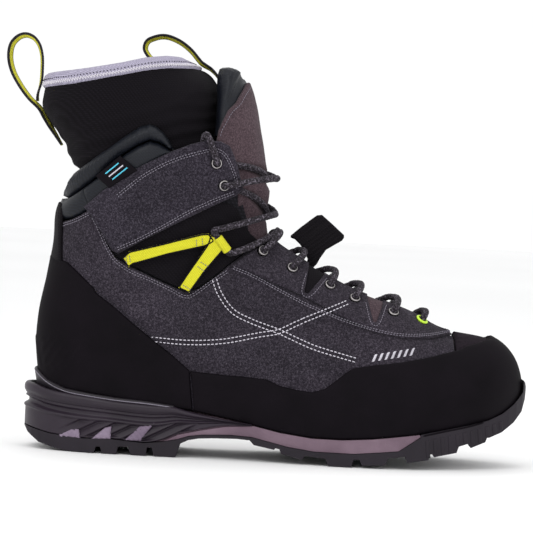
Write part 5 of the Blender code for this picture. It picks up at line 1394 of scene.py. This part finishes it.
def plate(name, drawing, thick, material, bevel=0.5, rows=None, y0=0.0, body=None, relief=None, grid=1.2):
    """A flat patch seen face-on in the side drawing, rounded at its edges on both faces."""
    loop = to_mm(straight_line(drawing + [drawing[0]], 1.3))[:-1]
    area = 0.5 * np.sum(loop[:, 0] * np.roll(loop[:, 1], -1) - np.roll(loop[:, 0], -1) * loop[:, 1])
    if area < 0:
        loop = loop[::-1]
    n = len(loop)
    pts = [loop]
    t = np.roll(loop, -1, 0) - np.roll(loop, 1, 0)
    t /= np.linalg.norm(t, axis=1)[:, None]
    nn = np.stack([-t[:, 1], t[:, 0]], 1)
    for r in (0.25 * bevel, bevel):
        cand = loop + nn * r
        d, _ = nearest(cand, loop)
        pts.append(cand[inside(loop, cand) & (d > 0.8 * r)])
    lo, hi = loop.min(0), loop.max(0)
    A, B = np.meshgrid(np.arange(lo[0], hi[0], grid), np.arange(lo[1], hi[1], grid))
    gpts = np.stack([A.ravel(), B.ravel()], 1)
    gpts = gpts[inside(loop, gpts)]
    d, _ = nearest(gpts, np.vstack(pts))
    pts.append(gpts[d > 0.6 * grid])
    allp = np.vstack(pts)
    res = delaunay_2d_cdt([Vector(p) for p in allp], [(i, (i + 1) % n) for i in range(n)], [], 1, 1e-5)
    v2 = np.array([v[:] for v in res[0]])
    tris = np.array(res[2], int)
    d, _ = nearest(v2, loop)
    d[d < 0.02] = 0
    prof = np.sqrt(np.maximum(1 - (1 - np.clip(d / bevel, 0, 1)) ** 2, 0))
    h = thick / 2 * prof
    r = relief(v2, d) * prof if relief is not None else 0.0
    front_v = np.stack([v2[:, 0], y0 - h - r, v2[:, 1]], 1)
    back_v = np.stack([v2[:, 0], y0 + h + r, v2[:, 1]], 1)
    on = d == 0
    ids = np.where(~on)[0]
    back = -np.ones(len(v2), int)
    back[on] = np.where(on)[0]
    back[ids] = len(v2) + np.arange(len(ids))
    faces = np.vstack([tris, back[tris][:, ::-1]])
    return fix_normals(mesh_from(name, np.vstack([front_v, back_v[ids]]), faces, material, True, body))


def keeper_relief(v, d):
    """Ribs across the tape, a folded second layer at the upper right, and a sewn line."""
    u = v[:, 0] * math.cos(0.90) - v[:, 1] * math.sin(0.90)
    fold = to_mm((322, 226))
    u0 = fold[0] * math.cos(0.90) - fold[1] * math.sin(0.90)
    return 0.42 * np.sin(u * 2 * math.pi / 2.5) - 0.45 * np.exp(-((u - u0) / 0.45) ** 2) + 0.5 * (u > u0)


keeper = plate("lace_keeper", KEEPER, 3.0, "webbing", bevel=0.9, relief=keeper_relief, grid=0.55)
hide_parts("lace_keeper", "lace_keeper_stem")

# ------------------------------------------------------------------ lace slings
BAND_A = [(126, 256.0), (133, 249.8), (165, 242.4), (203, 232.6), (209.5, 232.2), (214.5, 240), (206, 244.6), (170, 252.6), (136, 262.2), (132, 265.6)]
BAND_B = [(211, 233.5), (218.5, 236.8), (223.4, 248), (206.5, 269), (191.5, 290.4), (180.6, 285.3), (193, 266.5), (208, 243.5)]
for word, side in (("lateral", -1), ("medial", 1)):
    a = trace(BAND_A, side, step=1.1)

    def tape(p, ab, d):
        return 0.12 * np.sin(p[:, 0] * 2 * math.pi / 0.9) * np.clip(d / 1.5, 0, 1) - 0.25 * np.exp(-((d - 1.2) / 0.25) ** 2)
    o = panel("lace_sling_" + word, a, 2.5, 3.8, "yellow", grid=0.9, edge=0.6, relief=tape)
    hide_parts("lace_sling_" + word)
    b = trace(BAND_B, side, step=1.1)
    o2 = panel("lace_sling_fold_" + word, b, 2.6, 3.9, "yellow", grid=0.9, edge=0.6, relief=tape)
    ends = LAST.on(TUBE_LOW, 3.4, side), LAST.on(TUBE_HIGH, 3.4, side)
    d = (ends[1] - ends[0]) / np.linalg.norm(ends[1] - ends[0])
    L = np.linalg.norm(ends[1] - ends[0])
    prof = []
    for s in np.linspace(0, 1, 26):
        prof.append((2.92 + 0.1 * math.sin(s * L * 2 * math.pi / 0.9) - (0.3 if s in (0, 1) else 0), s * L))
    prof += [(2.45, L), (2.45, 0)]
    v, f = revolve(prof, 30)
    fix_normals(mesh_from("lace_sling_tube_" + word, placed(v, ends[0], d), f, "yellow"))
    # dark woven edges
    rows = []
    for loop_pts in (BAND_A, BAND_B):
        ab = trace(loop_pts, side, step=0.8)
        inner = step_in(LAST, ab, np.roll(ab, 1, 0), np.roll(ab, -1, 0), 0.35, 1.0 if (0.5 * np.sum(ab[:, 0] * np.roll(ab[:, 1], -1) - np.roll(ab[:, 0], -1) * ab[:, 1])) > 0 else -1.0)
        rows.append(np.vstack([inner, inner[:1]]))
    for k, r in enumerate(rows):
        pts, nr = on_skin(r, 3.75)
        tube_pts = soften(resample(pts, 0.8), 2)
        t_, n_, b_ = frames_along(tube_pts)
        th = np.linspace(0, 2 * math.pi, 8, endpoint=False)
        ring = tube_pts[:, None, :] + 0.45 * (np.cos(th)[None, :, None] * n_[:, None, :] + np.sin(th)[None, :, None] * b_[:, None, :])
        loft_grid("sling_edge_%s_%d" % (word, k), ring, "webbing", caps=True)

LABEL = [(102, 177), (125.6, 157), (141.6, 171), (114.8, 188.4)]
lab = panel("side_label", trace(LABEL, -1, step=1.0), 2.5, 3.5, "rand", grid=1.2, edge=0.5)
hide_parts("side_label")


# ------------------------------------------------------------------ stitching on the upper
def rows_on(lines, h, both=True, gap=0.0, tube=LAST, step=0.9, curved=True, clip_throat=False):
    """Drawing lines as stitch rows on the skin; gap > 0 makes each line a double row."""
    rows = []
    for line in lines:
        for side in ((-1, 1) if both else (-1,)):
            ab = line_ab(line, side, curved, step, tube)
            for off in ((-gap / 2, gap / 2) if gap else (0.0,)):
                l2 = offset_line(tube, ab, off) if off else ab
                rows.append(on_skin(l2, h, tube))
    return rows


stitch_rows("stitch_eyestay", rows_on([[(233, 266.5), (253, 275.5), (278.6, 289.5), (305, 303.4), (338, 317.6), (373, 329), (396, 333.6), (422.6, 334.6), (449, 333)]], 1.9, gap=1.3),
            "thread_grey", pitch=1.9, length=1.35, radius=0.26)
stitch_rows("stitch_throat", rows_on([[(304.6, 274), (300.6, 291.5), (303.4, 296.2), (308.6, 296), (325.6, 279)],
                                      [(363.6, 303), (368.6, 321.8), (371.6, 324.6), (375.4, 324.4), (384.6, 306)]], 1.9, gap=0),
            "thread_grey", pitch=1.9, length=1.35, radius=0.26)
stitch_rows("stitch_cuff", rows_on([[(122, 196.4), (134, 186.5), (147, 176.5), (170, 164.3), (192, 156.6), (217, 151.6), (223.8, 155.3), (228, 162), (232, 171.5), (234.8, 181.5), (234, 189.5)],
                                    [(233, 192.5), (215, 199.8), (196, 208.5), (163.8, 226.5), (140, 239), (121, 247.4)]], 2.78, gap=1.4),
            "thread_grey", pitch=1.9, length=1.35, radius=0.26)
stitch_rows("stitch_quarter_back", rows_on([[(64.5, 224.6), (73.6, 221.9), (82, 218.8), (92.9, 213.5)],
                                            [(96.6, 216.5), (101.5, 226), (106.5, 237.5), (112, 249), (118, 258.5), (126, 265), (135, 270.5), (155, 279), (172, 287.2), (189, 294.8), (201, 288.6), (212, 280.5), (229, 269.5)]],
                                           0.12, gap=1.4), "thread_grey", pitch=1.9, length=1.35, radius=0.26)
WHITE = [[(215.4, 277), (221, 292), (234, 309), (253, 319), (278.6, 328.6), (299, 338), (313, 344), (356, 357)],
         [(153, 336.3), (189, 339.4), (223.7, 338.2), (259.4, 331.8), (278.6, 328.6), (296, 321), (303, 318)]]
stitch_rows("stitch_white", rows_on(WHITE, 0.18, gap=2.7), "thread", pitch=2.5, length=1.8, radius=0.36)
strip = [(302, 318.8), (345.5, 302.7)]
stitch_rows("stitch_white_upper", rows_on([strip], 1.98, gap=2.7), "thread", pitch=2.5, length=1.8, radius=0.36)
stitch_rows("stitch_rand", rows_on([[(104, 292), (121, 304), (138, 319), (156, 334), (175, 349)]], 2.3), "thread_dark", pitch=2.2, length=1.5, radius=0.24)
stitch_rows("stitch_tongue", rows_on([[(224.4, 138), (226.6, 131), (230, 125.6), (237.8, 113), (246, 105.4), (252.4, 94.6), (257.4, 86.4)]], -4.65),
            "thread_grey", pitch=1.9, length=1.3, radius=0.25, body="tongue_top")
stitch_rows("stitch_strip", rows_on([[(63.6, 206), (63.4, 222), (63.2, 240), (63.6, 256)]], 2.2), "thread_dark", pitch=1.8, length=1.2, radius=0.22)
stitch_rows("stitch_sling", rows_on([[(203.5, 243.5), (203, 236)], [(198, 245), (197.5, 237.5)], [(198.5, 264.5), (206, 270)], [(201.5, 260), (209.5, 265.5)],
                                     [(130.5, 261.5), (129.5, 254.5)], [(134, 260.5), (133, 253)], [(185, 282.5), (193.5, 287.5)]], 4.0, curved=False),
            "thread_grey", pitch=1.5, length=1.1, radius=0.25)


# ------------------------------------------------------------------ plain generic motifs in place of marks
def bar_motif(name, origin, count, pitch, size, lean, material, h=0.0, thick=0.5, side=-1):
    """Slanted bars, on one side."""
    V, F, base = [], [], 0
    for k in range(count):
        x, y = origin[0] + k * pitch[0], origin[1] + k * pitch[1]
        w, hh = size
        quad = [(x, y), (x + w, y), (x + w + lean, y - hh), (x + lean, y - hh)]
        lp = trace(quad, side, step=0.8)
        o = panel("%s_%d" % (name, k), lp, h, h + thick, material, grid=0.9, edge=0.25)
    return None


bar_motif("side_bars", (369, 357.5), 7, (6.2, -0.9), (2.6, 7.2), 3.2, "thread", h=-0.1, thick=0.35)
CYAN = lin(86, 200, 226)
M["cyan"] = rubber("print_cyan", tuple(c * 0.8 for c in CYAN), CYAN, 0.6, 900, 0.3, 0.1)
for k, (a, b) in enumerate((((112, 174.6), (124.4, 164.2)), ((115.2, 177.4), (128.4, 166.3)), ((118.4, 180.2), (132.4, 168.4)))):
    ab = line_ab([a, b], -1, False, 0.8)
    pts, nr = on_skin(ab, 3.5)
    tp = resample(pts, 0.6)
    t_, n_, b_ = frames_along(tp)
    th = np.linspace(0, 2 * math.pi, 8, endpoint=False)
    ring = tp[:, None, :] + np.array([0.42, 0.42, 0.42]) * (np.cos(th)[None, :, None] * n_[:, None, :] + np.sin(th)[None, :, None] * b_[:, None, :])
    loft_grid("label_line_%d" % k, ring, "cyan" if k != 1 else "thread", caps=True)

# ------------------------------------------------------------------ sole: materials on the moulded nodes, and their fine detail
NODE_MATERIALS = {"outsole": "tread", "midsole": "eva", "shank_plate": "metal", "insole_board": "board",
                  "heel_counter": "board", "toe_puff": "board", "footbed": "lining", "toe_vamp": "vamp"}
for n, m in NODE_MATERIALS.items():
    if n in NODES:
        o = bpy.data.objects.get(n)
        if o is not None:
            for sl in o.material_slots:
                sl.material = M[m]


def wall_line(points, off, both=True, step=1.2):
    out = []
    for side in ((-1, 1) if both else (-1,)):
        line = to_mm(smooth_line(points, step))
        loop = plan_offset(off)
        ym = loop[:, 1].mean()
        lo = loop[loop[:, 1] < ym] if side < 0 else loop[loop[:, 1] >= ym]
        o = np.argsort(lo[:, 0])
        y = np.interp(line[:, 0], lo[o, 0], lo[o, 1])
        out.append(np.stack([line[:, 0], y, line[:, 1]], 1))
    return out


def bead(name, paths, radius, material, squash=1.0, sides=10, wobble=0.0):
    for k, p in enumerate(paths):
        p = soften(resample(p, 0.9), 3)
        t_, n_, b_ = frames_along(p)
        th = np.linspace(0, 2 * math.pi, sides, endpoint=False)
        s = np.linspace(0, 1, len(p))
        r = radius * np.clip(np.minimum(s, 1 - s) * len(p) / 3, 0.25, 1)
        ring = p[:, None, :] + r[:, None, None] * (np.cos(th)[None, :, None] * n_[:, None, :] + squash * np.sin(th)[None, :, None] * b_[:, None, :])
        loft_grid("%s_%d" % (name, k), ring, material, caps=True)


def from_mm(x, z):
    """Back from the frame (mm) to the side drawing."""
    a, b = (np.asarray(x) - XS) / U, np.asarray(z) / U
    dx = a * math.cos(PITCH) + b * math.sin(PITCH)
    up = -a * math.sin(PITCH) + b * math.cos(PITCH)
    return X0 + dx, Y0 - up


def frame_off(r):
    return 4.2 + 6.6 * (1 - smoothstep(0, 30, r))


FRAME_TOP_MM = smooth_line(to_mm([(20, 379.6), (36.6, 382.2)] + FRAME_TOP[1:6] + [(176, 402.9), (185, 405.6), (198, 409.0), (210, 411.6), (224, 414.6), (254, 419.6)]), 1.0)
FRAME_LOW_MM = smooth_line(to_mm([(20, 423), (27.3, 423.4), (52, 429.4), (83, 433.2), (113, 433.6), (146, 437.4), (163, 435.2), (180, 428.8), (204, 423.9), (226, 420.6), (254, 420.9)]), 1.0)


def heel_wall(name, material, x_max, top_mm, low_mm, off, relief, rows=34, inner=2.6, step=0.8):
    """A moulded wall round the heel, from one side's tail to the other's."""
    loop = plan_offset(off)
    n = len(loop)
    order = list(range(n // 2, n)) + list(range(0, n // 2 + 1))
    chain = loop[order]
    dense = smooth_line(chain, step)
    dense = dense[dense[:, 0] < x_max]
    t2 = np.gradient(dense, axis=0)
    t2 /= np.linalg.norm(t2, axis=1)[:, None]
    nrm = np.stack([t2[:, 1], -t2[:, 0]], 1)
    centre = np.array([dense[:, 0].max(), 0.0])
    if (nrm * (dense - centre)).sum() < 0:
        nrm = -nrm
    zt = np.interp(dense[:, 0], top_mm[:, 0], top_mm[:, 1])
    zl = np.interp(dense[:, 0], low_mm[:, 0], low_mm[:, 1])
    zl = np.minimum(zl, zt - 0.3)
    v = np.linspace(0, 1, rows)
    Z = zt[:, None] + (zl - zt)[:, None] * v
    X = np.broadcast_to(dense[:, :1], Z.shape)
    Y = np.broadcast_to(dense[:, 1:], Z.shape)
    NX, NY = nrm[:, :1], nrm[:, 1:]
    r = relief(X, Y, Z, v)
    edge = np.sqrt(np.clip(1 - (1 - np.clip(np.minimum(v, 1 - v) * (zt - zl)[:, None] / 0.9, 0, 1)) ** 2, 0, 1)) * 0.7 - 0.7
    r = r + edge
    outer = np.stack([X + NX * r, Y + NY * r, Z], -1)
    inn = np.stack([X - NX * inner, Y - NY * inner, Z], -1)
    ring = np.concatenate([outer, inn[:, ::-1]], 1)
    return loft_grid(name, ring, material, closed_u=True, caps=True)


def frame_relief(X, Y, Z, v):
    px, py = from_mm(X, Z)
    run = X - HEEL_X
    tail = 1 - smoothstep(100, 165, run)
    ridge1 = 0.9 * np.exp(-((v - 0.12) / 0.085) ** 4)
    groove = -2.3 * np.exp(-((v - 0.40) / 0.07) ** 4) * (0.55 + 0.45 * (1 - smoothstep(0, 45, run)))
    band = -0.9 * np.exp(-((v - 0.27) / 0.022) ** 2)
    ridge2 = 0.8 * np.exp(-((v - 0.53) / 0.035) ** 4)
    c = (px + 2.17 * py) / 2.39
    saw = (c / 8.6) % 1.0
    blade = np.where(saw < 0.82, saw / 0.82, (1 - saw) / 0.18)
    zone = smoothstep(0.54, 0.62, v) * (1 - smoothstep(0.93, 1.0, v)) * smoothstep(14, 34, run) * (1 - smoothstep(92, 112, run))
    fins = zone * (-2.3 + 2.6 * blade)
    shallow = np.exp(-((v - 0.62) / 0.03) ** 2) * -0.5 * smoothstep(90, 110, run)
    return (ridge1 + groove + band + ridge2 + shallow) * tail + fins


heel_frame = heel_wall("heel_frame", "tpu", float(to_mm((252, 420))[0]), FRAME_TOP_MM, FRAME_LOW_MM, frame_off, frame_relief,
                       rows=64, step=0.6)
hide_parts("heel_frame")


def wall_plate(name, drawing, off_low, off_high, material, side, bevel=0.6, grid=1.0, relief=None):
    """A patch standing on the sole's side wall, following its curve."""
    loop = to_mm(straight_line(drawing + [drawing[0]], 1.0))[:-1]
    area = 0.5 * np.sum(loop[:, 0] * np.roll(loop[:, 1], -1) - np.roll(loop[:, 0], -1) * loop[:, 1])
    if area < 0:
        loop = loop[::-1]
    n = len(loop)
    t = np.roll(loop, -1, 0) - np.roll(loop, 1, 0)
    t /= np.linalg.norm(t, axis=1)[:, None]
    nn = np.stack([-t[:, 1], t[:, 0]], 1)
    pts = [loop]
    for r in (0.3 * bevel, bevel):
        cand = loop + nn * r
        d, _ = nearest(cand, loop)
        pts.append(cand[inside(loop, cand) & (d > 0.8 * r)])
    lo, hi = loop.min(0), loop.max(0)
    A, B = np.meshgrid(np.arange(lo[0], hi[0], grid), np.arange(lo[1], hi[1], grid))
    g2 = np.stack([A.ravel(), B.ravel()], 1)
    g2 = g2[inside(loop, g2)]
    if len(g2):
        d, _ = nearest(g2, np.vstack(pts))
        pts.append(g2[d > 0.6 * grid])
    res = delaunay_2d_cdt([Vector(p) for p in np.vstack(pts)], [(i, (i + 1) % n) for i in range(n)], [], 1, 1e-5)
    v2 = np.array([v[:] for v in res[0]])
    tris = np.array(res[2], int)
    d, _ = nearest(v2, loop)
    d[d < 0.02] = 0
    prof = np.sqrt(np.maximum(1 - (1 - np.clip(d / bevel, 0, 1)) ** 2, 0))

    def wall(off):
        lp = plan_offset(off)
        ym = lp[:, 1].mean()
        half = lp[lp[:, 1] < ym] if side < 0 else lp[lp[:, 1] >= ym]
        o = np.argsort(half[:, 0])
        return np.interp(v2[:, 0], half[o, 0], half[o, 1])
    low, high = wall(off_low), wall(off_high)
    y = low + (high - low) * prof + (0 if relief is None else side * relief(v2, d) * prof)
    front_v = np.stack([v2[:, 0], y, v2[:, 1]], 1)
    on = d == 0
    ids = np.where(~on)[0]
    back = -np.ones(len(v2), int)
    back[on] = np.where(on)[0]
    back[ids] = len(v2) + np.arange(len(ids))
    back_v = np.stack([v2[:, 0], low - side * 0.6, v2[:, 1]], 1)
    faces = np.vstack([tris, back[tris][:, ::-1]])
    return fix_normals(mesh_from(name, np.vstack([front_v, back_v[ids]]), faces, material))


M["foam"] = rubber("pale_foam", lin(112, 98, 116), lin(138, 124, 142), 0.7, 1500, 0.2, 0.4)
WEDGES = [[(56, 433.6), (74, 425.4), (82, 424.2), (83.5, 434.2)], [(94, 434.6), (108, 423.2), (114.5, 421.8), (113.6, 434.6)],
          [(127, 435.6), (142, 421.8), (158, 417.4), (150, 427), (143, 436.4)]]
for k, w in enumerate(WEDGES):
    for side in (-1, 1):
        wall_plate("foam_wedge_%d_%s" % (k, WORD[side]), w, lambda r: frame_off(r) - 1.0, lambda r: frame_off(r) + 0.45, "foam", side, bevel=1.2,
                   relief=lambda v, d: 0.35 * np.sin((v[:, 0] + 0.9 * v[:, 1]) * 2 * math.pi / 3.4))
# a pale grey bead along the heel cup's lip: a painted highlight, standing in for the light caught on the lip's edge
bead("cup_lip_painted_highlight", [on_skin(line_ab([(40, 367), (53, 378.8), (70, 387), (95, 391.6), (119.5, 395.4), (150, 398.6), (174, 402)], s), 3.95)[0] for s in (-1, 1)], 0.36, "thread_grey")
bead("toe_line", wall_line([(417, 430.4), (440, 426.4), (465, 422.4), (482, 418.6)], lambda r: sole_depth(r) - 0.2), 0.6, "rand")
# upright ribs on the tread's wall at the toe
RIBS = [(421, 434.5, 452.5), (428.5, 433.2, 448.5), (436, 431.8, 449.5), (443.5, 430.4, 448.2), (451, 429.1, 442), (458.5, 427.7, 440.4),
        (466, 426.2, 441.5), (473.5, 424.6, 439.8), (481, 422.8, 433.5), (488.5, 420.8, 431.5), (495.5, 418.6, 428.5)]
for side in (-1, 1):
    for k, (x, ya, yb) in enumerate(RIBS):
        wall_plate("tread_rib_%s_%d" % (WORD[side], k), [(x, ya), (x + 4.6, ya - 0.9), (x + 5.6, yb - 0.8), (x + 1.0, yb)],
                   lambda r: sole_depth(r) - 0.9, lambda r: sole_depth(r) + 0.35, "tread", side, bevel=0.6, grid=1.2)


# ------------------------------------------------------------------ the moving parts: transforms baked into their meshes
def joint_at(name):
    js = frame["joints"]
    j = js[name] if isinstance(js, dict) else [k for k in js if k.get("name") == name][0]
    return np.array(j.get("pos_m") or j.get("pos"))


def up_from(name, along, back=0.004, ahead=0.012):
    c = joint_at(name)
    along = np.array(along, float)
    along /= np.linalg.norm(along)
    return tuple(c - along * back), tuple(c + along * ahead)


a, b = up_from("tongue_fold", (-0.15, 0, 1.0), 0.012, 0.022)
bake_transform(tongue)
a, b = up_from("rear_loop_swing", (-0.75, 0, 0.66), 0.001, 0.006)
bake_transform(rear)
a, b = up_from("front_loop_swing", (-0.6, 0, 0.8), 0.001, 0.006)
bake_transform(front)
a, b = up_from("keeper_flop", (0, 0, 1.0), 0.002, 0.003)
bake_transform(keeper)

# ------------------------------------------------------------------ floor, light, camera
floor_mat, nt, bsdf, co = new_material("floor")
n = add(nt, "ShaderNodeTexNoise", {"Vector": co, "Scale": 0.7, "Detail": 1.0}).outputs["Fac"]
nt.links.new(ramp(nt, n, [(0.3, (0.93, 0.93, 0.93)), (0.7, (0.97, 0.97, 0.97))]), bsdf.inputs["Base Color"])
bsdf.inputs["Roughness"].default_value = 0.7
bsdf.inputs["Specular IOR Level"].default_value = 0.1
bm = bmesh.new()
bmesh.ops.create_circle(bm, cap_ends=True, segments=96, radius=9.0)
for v in bm.verts:
    v.co.z = -0.0004
mesh = bpy.data.meshes.new("floor")
bm.to_mesh(mesh)
bm.free()
floor = bpy.data.objects.new("floor", mesh)
bpy.context.scene.collection.objects.link(floor)
floor.data.materials.append(floor_mat)


def light(name, loc, aim, size, power, colour=(1, 1, 1)):
    d = bpy.data.lights.new(name, "AREA")
    d.shape = "RECTANGLE"
    d.size, d.size_y = size
    d.energy = power
    d.color = colour
    o = bpy.data.objects.new(name, d)
    o.location = loc
    o.rotation_euler = (Vector(aim) - Vector(loc)).to_track_quat("-Z", "Y").to_euler()
    bpy.context.scene.collection.objects.link(o)
    return o


light("key", (-0.55, -1.1, 1.15), (0, 0, 0.12), (0.7, 0.7), 5.6)
light("fill", (0.95, -1.0, 0.55), (0, 0, 0.1), (0.7, 0.7), 2.0)
light("top", (0.1, 0.1, 1.3), (0, 0, 0.1), (1.2, 0.8), 2.6)
light("low", (0.0, -1.3, 0.18), (0, 0, 0.08), (1.4, 0.35), 1)
world = bpy.data.worlds.new("world")
world.use_nodes = True
world.node_tree.nodes["Background"].inputs["Color"].default_value = (0.995, 0.997, 1.0, 1)
world.node_tree.nodes["Background"].inputs["Strength"].default_value = 1.02
bpy.context.scene.world = world
bpy.context.scene.view_settings.view_transform = "Standard"

cam_data = bpy.data.cameras.new("camera")
cam_data.lens = 170.0
cam_data.sensor_width = 36.0
camera = bpy.data.objects.new("camera", cam_data)
bpy.context.scene.collection.objects.link(camera)
bpy.context.scene.camera = camera
# the picture's middle in the object's frame
mid = to_mm((266.5, 266.5))
target = Vector((mid[0] * MM, -0.001, mid[1] * MM))
width_m = 533 * U * MM
dist = width_m / (36.0 / 170.0)
elev = math.radians(1.5)
camera.location = target + Vector((0, -math.cos(elev) * dist, math.sin(elev) * dist))
view = (target - camera.location).to_track_quat("-Z", "Y")
roll = Matrix.Rotation(PITCH, 4, view @ Vector((0, 0, 1)))
camera.rotation_euler = (roll.to_3x3() @ view.to_matrix()).to_euler()

bpy.context.view_layer.update()
